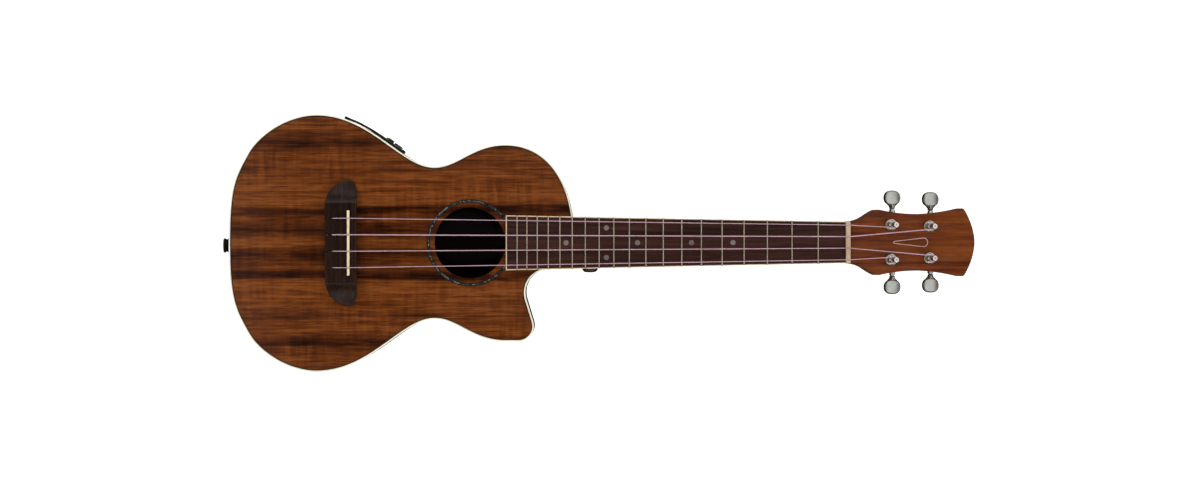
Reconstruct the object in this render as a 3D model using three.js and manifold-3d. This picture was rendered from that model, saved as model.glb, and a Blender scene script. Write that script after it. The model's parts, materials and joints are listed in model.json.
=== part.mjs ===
// Tenor ukulele with a cutaway, a side-mounted preamp and four worm-geared tuners.
// It lies on its back. Millimetres, +Z up out of the soundboard, +X towards the headstock,
// +Y to the bass side. Inside the model X is measured from the tail, and the whole group is
// moved at the end so that the origin is below the middle of its bounding box.
import * as THREE from 'three';
import { LoftGeometry } from 'three/addons/geometries/LoftGeometry.js';
import { mergeVertices } from 'three/addons/utils/BufferGeometryUtils.js';
import Module from 'manifold-3d';

const wasm = await Module();
wasm.setup();

// ---- driving dimensions ----
const GAP = 0.3; // between pieces that touch along a curved or turned face
const SCALE = 431.8; // 17 inch scale, nut to saddle before compensation
const FRETS = 19;
const NUT_X = 540.7; // front face of the nut
const NUT_LENGTH = 4.2;
const BODY_DEPTH = 66;
const BODY_END = 303.2; // neck end of the body on the centreline
const PLATE = 2; // thickness of the soundboard and the back
const SIDE = 1.8;
const BINDING_WIDTH = 1.5;
const BINDING_HEIGHT = 5;
const LINING_WIDTH = 5;
const LINING_HEIGHT = 7;

// Inside the body: ladder braces run across it, and the fan fans out below the bridge.
const BRACE_WIDTH = 7;
const BRACE_SCALLOP = 16; // length of each brace's sloping end
const BRACE_END_SHARE = 0.35; // height left at the ends
const TOP_BRACES = { upper: { x: 256, height: 9 }, lower: { x: 164, height: 10 } };
const BACK_BRACES = { places: [70, 155, 238], height: 10 };
const BACK_STRIP = { x: 16, half: 8, height: 2 };
const FAN = { x: 86, pitch: 24, splay: 0.16, length: 140, width: 5, height: 6 };
const BRIDGE_PLATE = { margin: 4, half: 46, thickness: 2 };
const TAIL_BLOCK = { length: 14, half: 26 };
const NECK_BLOCK = { length: 30, treble: -20.5, bass: 32 };

const SOUNDHOLE_X = 211.7;
const SOUNDHOLE_R = 31;
const ROSETTE_INNER = 35.2;
const ROSETTE_OUTER = 38.2;
const ROSETTE_DEPTH = 0.8;
const ROUND_HOLE = 40; // sides of the soundhole and the rosette

const BOARD_START = 243.2; // soundhole end of the fretboard
const BOARD_HALF_START = 24.05;
const BOARD_HALF_NUT = 18.35;
const BOARD_THICKNESS = 5.5;
const FRET_WIDTH = 1.6;
const FRET_HEIGHT = 0.9;

const BRIDGE_BACK = 84.8;
const BRIDGE_FRONT = 112.5;
const BRIDGE_HALF = 55;
const BRIDGE_BLOCK_HALF = 35.1; // half width of the tall middle block
const BRIDGE_HEIGHT = 8;
const BRIDGE_TIP_HEIGHT = 2.4;
const SADDLE_X = 105.45;
const SADDLE_THICKNESS = 2.7;
const SADDLE_HALF = 28.5;
const SADDLE_HEIGHT = 10.6; // above the soundboard
const SADDLE_SLOT_FLOOR = 3.6;
const PICKUP_THICKNESS = 1;
const STRING_SLOT_END = 93; // where each string leaves its slot in the bridge
const STRING_SLOT_FLOOR = 3.4;
const KNOT_POCKET = { length: 5, half: 1.7, floor: 3, roof: 6.4 }; // behind the bridge

const STRING_PITCH_SADDLE = 14.4;
const STRING_PITCH_NUT = 10.1;
const STRING_RADII = [0.36, 0.5, 0.42, 0.36]; // bass side to treble side
const NUT_HEIGHT = 7.5; // above the neck's top face

const HEAD_ANGLE = THREE.MathUtils.degToRad(14);
const HEAD_THICKNESS = 14;
const HEAD_FACE = 1.6; // the head's face stands this far above the neck's top face at the nut
const HEAD_LENGTH = 115;
const HEEL = { length: 19, half: 12.5, cap: 2 }; // at the back, where a thin cap covers it

const TUNER_PLACES = [
  { s: 37.5, y: 15.35 },
  { s: 73.1, y: 14.05 },
]; // along the head and out from its centreline
const GEAR_TEETH = 14;
const GEAR_CENTRE = 7.2; // worm axis to post axis
const WORM_PITCH_R = 2.1;
const GEAR_PITCH_R = GEAR_CENTRE - WORM_PITCH_R;
const WORM_LEAD = (2 * Math.PI * GEAR_PITCH_R) / GEAR_TEETH;
const WORM_DEPTH = -19.5; // below the head's face
const POST_HOLE_R = 4.45; // hole through the head
const SHAFT_RADIUS = 1.7;
const HOUSING = { x0: -7.5, x1: 11.4, y0: -8.5, y1: 9, z0: -24.4, wall: 1, corner: 3 };
const BUTTON = { y: 24, half: 5.5, halfAlong: 6.4, thickness: 2.8, edge: 1.1 };

const PREAMP_FROM = 100.4; // the panel's ends, by X along the bass side
const PREAMP_TO = 152.1;
const PREAMP_LOW = 14;
const PREAMP_HIGH = 52;
const PREAMP_THICKNESS = 2;
const PREAMP_WINDOW = { margin: 4, from: PREAMP_FROM + 2.4, to: PREAMP_TO - 1.5 }; // in the side
const PREAMP_TRAY = { depth: 27, margin: 4.5, wall: 1.4, ends: 2.8 };
// The battery door turns about its rounded end, which is the end nearer the knobs.
const DOOR = { from: 103.2, pivot: 117.5, low: 19, high: 47, round: PREAMP_THICKNESS / 2 };
const KNOB_RADIUS = 3.8;
const KNOB_HEIGHT = 1.6;
const KNOB_COLUMNS = [138.9, 145.9];
const KNOB_ROWS = [24.5, 41.5];

const JACK_Y = -2;
const JACK_Z = 33;
const JACK_BORE_R = 5; // hole through the tail
const SOCKET_R = 3.2;
const STRAP_X = 316.7;
const STRAP_Z = 36;

// ---- materials ----
const material = (color, roughness, metalness = 0) =>
  new THREE.MeshStandardMaterial({ color, roughness, metalness });
const KOA = material(0x8a4b20, 0.25);
const SIDE_KOA = material(0x7a4019, 0.25);
const MAHOGANY = material(0x6f3413, 0.3);
const SPRUCE = material(0xd9bf8d, 0.7);
const ROSEWOOD = material(0x3b2420, 0.5);
const CREAM = material(0xe6dcbb, 0.35);
const BONE = material(0xdccda6, 0.4);
const PEARL = material(0x5f8a86, 0.25);
const NYLON = material(0xe4d3e2, 0.3);
const CHROME = material(0xc9ccd0, 0.12, 1);
const BRASS = material(0xb5924c, 0.3, 1);
const BLACK = material(0x111214, 0.35);
const root = new THREE.Group();

function add(group, name, geometry, surface) {
  const mesh = new THREE.Mesh(geometry, surface);
  mesh.name = name;
  group.add(mesh);
  return mesh;
}

// ---- solids ----
function solid(geometry) {
  const bare = geometry.index ? geometry.toNonIndexed() : geometry.clone();
  bare.deleteAttribute('normal');
  bare.deleteAttribute('uv');
  const merged = mergeVertices(bare, 1e-4);
  return new wasm.Manifold(
    new wasm.Mesh({
      numProp: 3,
      vertProperties: merged.attributes.position.array,
      triVerts: new Uint32Array(merged.index.array),
    }),
  );
}

function geometryOf(manifold) {
  const mesh = manifold.getMesh();
  return new THREE.BufferGeometry()
    .setAttribute('position', new THREE.BufferAttribute(mesh.vertProperties, 3))
    .setIndex(new THREE.BufferAttribute(mesh.triVerts, 1));
}

// Joins the first geometries and cuts the others out of them.
function carve(joined, cut = []) {
  const whole = joined.map(solid).reduce((a, b) => a.add(b));
  return geometryOf(cut.map(solid).reduce((a, b) => a.subtract(b), whole));
}

function prism(outer, bottom, top, holes = []) {
  const shape = new THREE.Shape(outer);
  shape.holes = holes.map((hole) => new THREE.Path(hole));
  const depth = top - bottom;
  return new THREE.ExtrudeGeometry(shape, { depth, bevelEnabled: false }).translate(0, 0, bottom);
}

function box(x0, x1, y0, y1, z0, z1) {
  return new THREE.BoxGeometry(x1 - x0, y1 - y0, z1 - z0).translate(
    (x0 + x1) / 2,
    (y0 + y1) / 2,
    (z0 + z1) / 2,
  );
}

function circle(x, y, radius, segments) {
  return Array.from({ length: segments }, (_, i) => {
    const angle = (i / segments) * Math.PI * 2;
    return new THREE.Vector2(x + radius * Math.cos(angle), y + radius * Math.sin(angle));
  });
}

// A turned piece: profile points are [radius, height], and the axis is then laid along X, Y or Z.
function turned(profile, segments, axis = 'z') {
  const geometry = new THREE.LatheGeometry(
    profile.map(([r, h]) => new THREE.Vector2(r, h)),
    segments,
  );
  if (axis === 'z') geometry.rotateX(Math.PI / 2);
  if (axis === 'x') geometry.rotateZ(-Math.PI / 2);
  return geometry;
}

// A tube of constant radius through points, with flat ends.
function tube(points, radius, sides) {
  const sections = [];
  let up = new THREE.Vector3(0, 0, 1);
  points.forEach((point, i) => {
    const before = points[Math.max(i - 1, 0)];
    const after = points[Math.min(i + 1, points.length - 1)];
    const along = after.clone().sub(before).normalize();
    const across = new THREE.Vector3().crossVectors(up, along).normalize();
    up = new THREE.Vector3().crossVectors(along, across);
    sections.push(
      Array.from({ length: sides }, (_, k) => {
        const angle = (k / sides) * Math.PI * 2;
        return point
          .clone()
          .addScaledVector(across, radius * Math.cos(angle))
          .addScaledVector(up, radius * Math.sin(angle));
      }),
    );
  });
  return new LoftGeometry(sections, { capStart: true, capEnd: true });
}

// ---- body outline ----
const LOWER_BOUT = [77, 113.2];
const WAIST = [180.5, 67.1];
const UPPER_BOUT = [242.5, 86.7];
const HORN = { x: 254, y: -73.1, r: 13.6 };
const CUTAWAY = { x: 280.2, y: -43.7, r: 20 };
const CUTAWAY_CORNER = [302.6, -23.2];

// One half of the body from the tail to the widest point of the upper bout, as cubic curves.
const HALF_CURVES = [
  [[0, 0], [0, 48.5], [4.5, 57.7], [17, 79.7]],
  [[17, 79.7], [26.7, 96.6], [52.5, 113.2], LOWER_BOUT],
  [LOWER_BOUT, [125, 113.2], [152, 67.1], WAIST],
  [WAIST, [200.5, 67.1], [213.7, 86.7], UPPER_BOUT],
];
const SHOULDER_CURVE = [UPPER_BOUT, [274.7, 86.7], [BODY_END, 61.7], [BODY_END, 0]];
const CURVE_STEPS = [8, 6, 9, 6];

function curvePoints(controls, steps, side) {
  const points = controls.map(([x, y]) => new THREE.Vector2(x, side * y));
  return new THREE.CubicBezierCurve(...points).getPoints(steps);
}

function arcPoints({ x, y, r }, from, to, steps) {
  return Array.from({ length: steps + 1 }, (_, i) => {
    const angle = from + ((to - from) * i) / steps;
    return new THREE.Vector2(x + r * Math.cos(angle), y + r * Math.sin(angle));
  });
}

// Both arcs of the cutaway meet a straight stretch at the same angle.
function cutawayAngle() {
  const dx = CUTAWAY.x - HORN.x;
  const dy = CUTAWAY.y - HORN.y;
  return Math.atan2(dy, dx) - Math.acos((HORN.r + CUTAWAY.r) / Math.hypot(dx, dy));
}

function bodyHalves() {
  const half = (side) =>
    HALF_CURVES.flatMap((curve, i) => curvePoints(curve, CURVE_STEPS[i], side).slice(i ? 1 : 0));
  const angle = cutawayAngle();
  const treble = [
    ...half(-1),
    ...arcPoints(HORN, -Math.PI / 2, angle, 7),
    ...arcPoints(CUTAWAY, Math.PI + angle, Math.PI / 2, 7),
    new THREE.Vector2(...CUTAWAY_CORNER),
    new THREE.Vector2(BODY_END, 0),
  ];
  const bass = [...half(1), ...curvePoints(SHOULDER_CURVE, 11, 1).slice(1)];
  return { treble, bass };
}

const HALVES = bodyHalves();
const OUTLINE = [...HALVES.treble, ...HALVES.bass.slice(1, -1).reverse()];
const TAIL_INDEX = 0;
const NECK_INDEX = HALVES.treble.length - 1;

// Moves a counterclockwise loop inwards; a negative distance moves it out.
function inset(loop, distance) {
  return loop.map((point, i) => {
    const before = point.clone().sub(loop.at(i - 1)).normalize();
    const after = loop[(i + 1) % loop.length].clone().sub(point).normalize();
    const tangent = before.clone().add(after).normalize();
    const inward = new THREE.Vector2(-tangent.y, tangent.x);
    return point.clone().addScaledVector(inward, distance / before.dot(tangent));
  });
}

// A strip of the rim between two depths, over part of the loop.
function rimStrip(indices, outer, inner) {
  const outside = inset(OUTLINE, outer);
  const inside = inset(OUTLINE, inner);
  return [...indices.map((i) => outside[i]), ...indices.map((i) => inside[i]).reverse()];
}

// The point on the bass side of the rim at this X, with the outward direction there.
function bassRimAt(x) {
  const i = OUTLINE.findIndex((p, k) => k > NECK_INDEX && p.x >= x && OUTLINE[k + 1].x < x);
  const share = (OUTLINE[i].x - x) / (OUTLINE[i].x - OUTLINE[i + 1].x);
  const point = OUTLINE[i].clone().lerp(OUTLINE[i + 1], share);
  const along = OUTLINE[i + 1].clone().sub(OUTLINE[i]).normalize();
  return { point, outward: new THREE.Vector2(along.y, -along.x) };
}

const TOP = BODY_DEPTH;
const TOP_UNDERSIDE = BODY_DEPTH - PLATE;
const CAVITY_INSET = SIDE + GAP;

// The hole for the jack's barrel, from outside the tail to this depth.
function jackBore(depth) {
  const profile = [[0, -5], [JACK_BORE_R, -5], [JACK_BORE_R, depth], [0, depth]];
  return turned(profile, 20, 'x').translate(0, JACK_Y, JACK_Z);
}

// ---- body shell ----
function makeShell() {
  const body = new THREE.Group();
  root.add(body);
  const plate = inset(OUTLINE, BINDING_WIDTH + GAP);
  const soundhole = circle(SOUNDHOLE_X, 0, SOUNDHOLE_R, ROUND_HOLE);
  const rosetteSeat = prism(
    circle(SOUNDHOLE_X, 0, ROSETTE_OUTER + 0.1, ROUND_HOLE),
    TOP - ROSETTE_DEPTH - 0.1,
    TOP + 1,
    [circle(SOUNDHOLE_X, 0, ROSETTE_INNER - 0.1, ROUND_HOLE)],
  );
  const top = prism(plate, TOP_UNDERSIDE, TOP, [soundhole]);
  add(body, 'soundboard', carve([top], [rosetteSeat]), KOA);
  add(body, 'back_plate', prism(plate, 0, PLATE), KOA);

  const trebleIndices = Array.from({ length: NECK_INDEX + 1 }, (_, i) => i);
  const bassIndices = [
    ...Array.from({ length: OUTLINE.length - NECK_INDEX }, (_, i) => i + NECK_INDEX),
    TAIL_INDEX,
  ];
  const seam = box(-5, BODY_END + 5, -GAP / 2, GAP / 2, -1, TOP + 1);
  const low = BINDING_HEIGHT;
  const high = TOP - BINDING_HEIGHT;
  const jackHole = jackBore(9);
  const window = preampBlock(-4, 8, PREAMP_WINDOW.margin, PREAMP_WINDOW.from, PREAMP_WINDOW.to);
  const rim = (indices) => prism(rimStrip(indices, 0, SIDE), low, high);
  add(body, 'side_treble', carve([rim(trebleIndices)], [seam, jackHole]), SIDE_KOA);
  add(body, 'side_bass', carve([rim(bassIndices)], [seam, jackHole, window]), SIDE_KOA);

  const bindingHole = inset(OUTLINE, BINDING_WIDTH);
  add(body, 'binding_top', prism(OUTLINE, high, TOP, [bindingHole]), CREAM);
  add(body, 'binding_back', prism(OUTLINE, 0, low, [bindingHole]), CREAM);
}

// The linings are the glue strips in the corners between the sides and the two plates.
const liningHoles = () => [inset(OUTLINE, CAVITY_INSET + LINING_WIDTH)];

function makeLinings() {
  const outer = inset(OUTLINE, CAVITY_INSET);
  const ring = (bottom) => prism(outer, bottom, bottom + LINING_HEIGHT, liningHoles());
  add(root, 'lining_top', ring(TOP_UNDERSIDE - LINING_HEIGHT), SPRUCE);
  add(root, 'lining_back', ring(PLATE), SPRUCE);
}

// How far a piece of this width reaches out from the centreline at x before it meets the linings.
function reachAt(x, width) {
  const loop = liningHoles()[0];
  const reaches = [x - width / 2, x + width / 2].flatMap((line) =>
    loop.flatMap((p, i) => {
      const q = loop[(i + 1) % loop.length];
      const crosses = (p.x - line) * (q.x - line) < 0;
      return crosses ? [Math.abs(THREE.MathUtils.mapLinear(line, p.x, q.x, p.y, q.y))] : [];
    }),
  );
  return Math.min(...reaches) - GAP;
}

// A brace across the body at x, scalloped to low ends; it stands up from z or hangs from it.
function ladderBrace(x, height, z, up) {
  const reach = reachAt(x, BRACE_WIDTH);
  const crest = reach - BRACE_SCALLOP;
  const end = height * BRACE_END_SHARE;
  const shape = [
    [-reach, 0], [reach, 0], [reach, end], [crest, height], [-crest, height], [-reach, end],
  ].map(([y, h]) => new THREE.Vector2(y, h));
  const brace = prism(shape, -BRACE_WIDTH / 2, BRACE_WIDTH / 2);
  brace.rotateX(Math.PI / 2).rotateZ(Math.PI / 2);
  if (!up) brace.rotateX(Math.PI);
  return brace.translate(x, 0, z);
}

// The end blocks fill the body's depth between the plates and are rebated round the linings.
function makeBlocksAndBraces() {
  const cavity = solid(prism(inset(OUTLINE, CAVITY_INSET), PLATE, TOP_UNDERSIDE));
  const rebate = (bottom) =>
    prism(
      inset(OUTLINE, CAVITY_INSET - 1),
      bottom - GAP,
      bottom + LINING_HEIGHT + GAP,
      [inset(OUTLINE, CAVITY_INSET + LINING_WIDTH + GAP)],
    );
  const rebates = [rebate(PLATE), rebate(TOP_UNDERSIDE - LINING_HEIGHT)];
  const block = (geometry, holes) => {
    const fitted = solid(geometry).intersect(cavity);
    return geometryOf([...rebates, ...holes].map(solid).reduce((a, b) => a.subtract(b), fitted));
  };
  const { half } = TAIL_BLOCK;
  const tail = box(-1, TAIL_BLOCK.length, -half, half, PLATE, TOP_UNDERSIDE);
  const neckStart = BODY_END - NECK_BLOCK.length;
  const { treble, bass } = NECK_BLOCK;
  const neckBlock = box(neckStart, BODY_END, treble, bass, PLATE, TOP_UNDERSIDE);
  add(root, 'tail_block', block(tail, [jackBore(40)]), MAHOGANY);
  add(root, 'neck_block', block(neckBlock, []), MAHOGANY);

  const hung = ({ x, height }) => ladderBrace(x, height, TOP_UNDERSIDE, false);
  add(root, 'brace_top_upper', hung(TOP_BRACES.upper), SPRUCE);
  add(root, 'brace_top_lower', hung(TOP_BRACES.lower), SPRUCE);

  // Three fan braces glued across the bridge plate.
  const plate = box(
    BRIDGE_BACK - BRIDGE_PLATE.margin, BRIDGE_FRONT + BRIDGE_PLATE.margin,
    -BRIDGE_PLATE.half, BRIDGE_PLATE.half, TOP_UNDERSIDE - BRIDGE_PLATE.thickness, TOP_UNDERSIDE,
  );
  const fan = [-1, 0, 1].map((i) =>
    box(
      -FAN.length / 2, FAN.length / 2, -FAN.width / 2, FAN.width / 2,
      TOP_UNDERSIDE - FAN.height, TOP_UNDERSIDE,
    )
      .rotateZ(-i * FAN.splay)
      .translate(FAN.x, i * FAN.pitch, 0),
  );
  add(root, 'fan_bracing', carve([plate, ...fan]), SPRUCE);

  // Three ladder braces and the strip that reinforces the back's centre joint.
  const strip = box(
    BACK_STRIP.x, neckStart - 1, -BACK_STRIP.half, BACK_STRIP.half, PLATE, PLATE + BACK_STRIP.height,
  );
  const ladders = BACK_BRACES.places.map((x) => ladderBrace(x, BACK_BRACES.height, PLATE, true));
  add(root, 'back_bracing', carve([strip, ...ladders]), SPRUCE);
}

function makeRosette() {
  const ring = prism(
    circle(SOUNDHOLE_X, 0, ROSETTE_OUTER, ROUND_HOLE),
    TOP - ROSETTE_DEPTH,
    TOP,
    [circle(SOUNDHOLE_X, 0, ROSETTE_INNER, ROUND_HOLE)],
  );
  add(root, 'rosette', ring, PEARL);
}

// ---- bridge, saddle and pickup ----
function makeBridge() {
  const half = [];
  const wing = new THREE.CubicBezierCurve(
    new THREE.Vector2(BRIDGE_BACK, BRIDGE_BLOCK_HALF),
    new THREE.Vector2(BRIDGE_BACK + 2, BRIDGE_BLOCK_HALF + 10),
    new THREE.Vector2(BRIDGE_BACK + 10, BRIDGE_HALF),
    new THREE.Vector2(BRIDGE_FRONT - 7, BRIDGE_HALF),
  );
  half.push(...wing.getPoints(8));
  const tip = new THREE.QuadraticBezierCurve(
    new THREE.Vector2(BRIDGE_FRONT - 4.5, BRIDGE_HALF),
    new THREE.Vector2(BRIDGE_FRONT - 1.4, BRIDGE_HALF - 1),
    new THREE.Vector2(BRIDGE_FRONT, BRIDGE_HALF - 11),
  );
  half.push(...tip.getPoints(4));
  const outline = [...half.map((p) => new THREE.Vector2(p.x, -p.y)), ...half.reverse()];
  const footprint = prism(outline, 0, BRIDGE_HEIGHT + 1);

  // The wings are scooped down from the block in a quarter curve.
  const scoop = new THREE.QuadraticBezierCurve(
    new THREE.Vector2(BRIDGE_BLOCK_HALF, BRIDGE_HEIGHT),
    new THREE.Vector2(BRIDGE_BLOCK_HALF + 5, BRIDGE_TIP_HEIGHT + 1),
    new THREE.Vector2(BRIDGE_HALF + 1, BRIDGE_TIP_HEIGHT),
  ).getPoints(6);
  const profile = [
    ...scoop,
    new THREE.Vector2(BRIDGE_HALF + 1, -1),
    new THREE.Vector2(-BRIDGE_HALF - 1, -1),
    ...scoop.map((p) => new THREE.Vector2(-p.x, p.y)).reverse(),
  ].reverse();
  const carved = prism(profile, BRIDGE_BACK - 1, BRIDGE_FRONT + 1)
    .rotateX(Math.PI / 2)
    .rotateZ(Math.PI / 2);
  const slotHalf = SADDLE_THICKNESS / 2 + 0.1;
  const cutTop = BRIDGE_HEIGHT + 2;
  const cuts = [
    box(
      SADDLE_X - slotHalf, SADDLE_X + slotHalf,
      -SADDLE_HALF - 0.2, SADDLE_HALF + 0.2, SADDLE_SLOT_FLOOR, cutTop,
    ),
  ];
  for (const [i, radius] of STRING_RADII.entries()) {
    const y = stringY(i, STRING_PITCH_SADDLE);
    const slot = radius + 0.25;
    const { length, half: pocket, floor, roof } = KNOT_POCKET;
    cuts.push(box(BRIDGE_BACK - 1, STRING_SLOT_END, y - slot, y + slot, STRING_SLOT_FLOOR, cutTop));
    cuts.push(box(BRIDGE_BACK - 1, BRIDGE_BACK + length, y - pocket, y + pocket, floor, roof));
  }
  const whole = solid(footprint).intersect(solid(carved));
  const bridge = geometryOf(cuts.map(solid).reduce((a, b) => a.subtract(b), whole));
  add(root, 'bridge', bridge, ROSEWOOD).position.z = TOP;

  const strip = SADDLE_SLOT_FLOOR + PICKUP_THICKNESS;
  const pickup = box(
    SADDLE_X - 1.2, SADDLE_X + 1.2, -SADDLE_HALF, SADDLE_HALF, TOP + SADDLE_SLOT_FLOOR, TOP + strip,
  );
  add(root, 'pickup_strip', pickup, BRASS);
  const crown = [
    [-SADDLE_THICKNESS / 2, strip], [SADDLE_THICKNESS / 2, strip],
    [SADDLE_THICKNESS / 2, SADDLE_HEIGHT - 0.9], [0.6, SADDLE_HEIGHT - 0.1],
    [-0.6, SADDLE_HEIGHT - 0.1], [-SADDLE_THICKNESS / 2, SADDLE_HEIGHT - 0.9],
  ].map(([x, z]) => new THREE.Vector2(x, z));
  const saddle = prism(crown, -SADDLE_HALF, SADDLE_HALF).rotateX(Math.PI / 2);
  add(root, 'saddle', saddle.translate(SADDLE_X, 0, TOP), BONE);
}

// ---- neck ----
const NECK_TOP = TOP;
const boardHalfAt = (x) =>
  THREE.MathUtils.mapLinear(x, BOARD_START, NUT_X, BOARD_HALF_START, BOARD_HALF_NUT);
const fretX = (n) => NUT_X - SCALE * (1 - 2 ** (-n / 12));
const headMatrix = new THREE.Matrix4()
  .makeTranslation(NUT_X + NUT_LENGTH, 0, NECK_TOP + HEAD_FACE)
  .multiply(new THREE.Matrix4().makeRotationY(HEAD_ANGLE));
const onHead = (s, y, h) => new THREE.Vector3(s, y, h).applyMatrix4(headMatrix);

// One section of the neck's shaft across X: flat on top, rounded below.
function shaftSection(x, halfWidth, depth, top = NECK_TOP) {
  const steps = 10;
  return Array.from({ length: steps + 1 }, (_, i) => {
    const angle = (i / steps) * Math.PI;
    const y = halfWidth * Math.cos(angle);
    const z = -depth * Math.sin(angle) ** 0.8;
    return new THREE.Vector3(x, -y, top + z);
  });
}

// One level section of the heel, rounded towards the head.
function heelSection(z, length, halfWidth) {
  const steps = 10;
  const start = BODY_END - 6;
  const points = Array.from({ length: steps + 1 }, (_, i) => {
    const angle = ((i / steps) * 2 - 1) * (Math.PI / 2);
    return new THREE.Vector3(
      BODY_END + length * Math.cos(angle) ** 0.85,
      halfWidth * Math.sin(angle),
      z,
    );
  });
  return [new THREE.Vector3(start, -halfWidth, z), ...points, new THREE.Vector3(start, halfWidth, z)];
}

// The head's outline in its own plane, from the nut round the tip and back, counterclockwise.
function headOutline() {
  const curve = (...p) => new THREE.CubicBezierCurve(...p.map(([x, y]) => new THREE.Vector2(x, y)));
  const sweep = curve([-4, BOARD_HALF_NUT], [12.4, BOARD_HALF_NUT], [12.4, 23.5], [23.4, 28.4]);
  const corner = curve([23.4, 28.4], [25.2, 29.1], [26.8, 28.8], [28.6, 28.4]);
  const waist = curve([28.6, 28.4], [49, 24], [73, 23.2], [102, 30]);
  const tipCorner = curve([102, 30], [104.5, 30.5], [105.5, 29], [106.6, 27.2]);
  const tip = curve([106.6, 27.2], [112, 18], [HEAD_LENGTH, 8], [HEAD_LENGTH, 0]);
  const half = [
    ...sweep.getPoints(6), ...corner.getPoints(2).slice(1), ...waist.getPoints(7).slice(1),
    ...tipCorner.getPoints(2).slice(1), ...tip.getPoints(5).slice(1, -1),
  ];
  const end = new THREE.Vector2(HEAD_LENGTH, 0);
  return [...half.map((p) => new THREE.Vector2(p.x, -p.y)), end, ...half.slice().reverse()];
}

// The shaft, the heel and the head are one piece of wood.
function makeNeck() {
  const capped = { capStart: true, capEnd: true };
  const neckEnd = NUT_X + NUT_LENGTH;
  // Each row is a place along X and the shaft's depth there.
  const rows = [
    [BODY_END - 6, 17], [BODY_END + 60, 16.6], [430, 15.6], [500, 14.8], [532, 14.4], [548, 14.6],
  ];
  const shaft = new LoftGeometry(
    rows.map(([x, depth]) => shaftSection(x, boardHalfAt(Math.min(x, neckEnd)) - 0.1, depth)),
    capped,
  );
  // Each row is a height, how far the heel reaches from the body and its half width.
  const heelRows = [
    [HEEL.cap, HEEL.length, HEEL.half], [14, 20.5, 13.6], [28, 23.5, 15.2], [38, 27, 16.6],
    [46, 33, 18], [52, 42, 19.4], [57, 54, 20.4],
  ];
  const heel = new LoftGeometry(heelRows.map((row) => heelSection(...row)), capped);
  const slab = prism(headOutline(), -HEAD_THICKNESS, 0).applyMatrix4(headMatrix);
  // Above the neck's top face and in front of the nut nothing of the head's slab stays.
  const nutSeat = box(NUT_X - 30, neckEnd + 0.1, -40, 40, NECK_TOP, NECK_TOP + 20);
  const bodySpace = prism(inset(OUTLINE, -0.2), -5, TOP + 10);
  const posts = TUNER_PLACES.flatMap(({ s, y }) =>
    [1, -1].map((side) =>
      new THREE.CylinderGeometry(POST_HOLE_R, POST_HOLE_R, 60, 12)
        .rotateX(Math.PI / 2)
        .translate(s, side * y, 0)
        .applyMatrix4(headMatrix),
    ),
  );
  const strapHole = new THREE.CylinderGeometry(1.6, 1.6, 14, 12).translate(STRAP_X, -14, STRAP_Z);
  const neck = carve([shaft, heel, slab], [nutSeat, bodySpace, ...posts, strapHole]);
  add(root, 'neck', neck, MAHOGANY);

  const cap = heelSection(0, HEEL.length, HEEL.half).map((p) => new THREE.Vector2(p.x, p.y));
  add(root, 'heel_cap', carve([prism(cap, 0, HEEL.cap)], [bodySpace]), CREAM);
}

// ---- fretboard with its pressed-in frets, and the nut ----
function makeFretboard() {
  const end = NUT_X - 0.1;
  const board = prism(
    [
      [BOARD_START, -boardHalfAt(BOARD_START)], [end, -boardHalfAt(end)],
      [end, boardHalfAt(end)], [BOARD_START, boardHalfAt(BOARD_START)],
    ].map(([x, y]) => new THREE.Vector2(x, y)),
    NECK_TOP,
    NECK_TOP + BOARD_THICKNESS,
  );
  const crown = [
    [-FRET_WIDTH / 2, -0.3], [FRET_WIDTH / 2, -0.3], [FRET_WIDTH / 2, 0.35],
    [FRET_WIDTH / 4, FRET_HEIGHT], [-FRET_WIDTH / 4, FRET_HEIGHT], [-FRET_WIDTH / 2, 0.35],
  ].map(([x, z]) => new THREE.Vector2(x, z));
  const frets = Array.from({ length: FRETS }, (_, i) => {
    const x = fretX(i + 1);
    const half = boardHalfAt(x) - 0.3;
    const fret = prism(crown, -half, half).rotateX(Math.PI / 2);
    return fret.translate(x, 0, NECK_TOP + BOARD_THICKNESS);
  });
  add(root, 'fretboard', carve([board, ...frets]), ROSEWOOD);

  const nutTop = NECK_TOP + NUT_HEIGHT;
  const nutEnd = NUT_X + NUT_LENGTH;
  const blank = box(NUT_X, nutEnd - 0.1, -BOARD_HALF_NUT, BOARD_HALF_NUT, NECK_TOP, nutTop);
  const slots = STRING_RADII.map((radius, i) => {
    const y = stringY(i, STRING_PITCH_NUT);
    const floor = nutStringZ(i) - radius - 0.08;
    const half = radius + 0.12;
    return box(NUT_X - 1, nutEnd + 1, y - half, y + half, floor, nutTop + 1);
  });
  add(root, 'nut', carve([blank], slots), BONE);
}

// ---- strings ----
const stringY = (i, pitch) => (1.5 - i) * pitch;
const NUT_SLOT_FLOOR = NECK_TOP + BOARD_THICKNESS + FRET_HEIGHT + 0.6;
const nutStringZ = (i) => NUT_SLOT_FLOOR + STRING_RADII[i];
// The outer strings go to the near pair of posts and the inner ones to the far pair.
const STRING_TUNERS = [
  { place: 0, side: 1 }, { place: 1, side: 1 }, { place: 1, side: -1 }, { place: 0, side: -1 },
];
const WINDING = { turns: 2.6, radius: 2, top: 8.4, perTurn: 8 };

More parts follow.
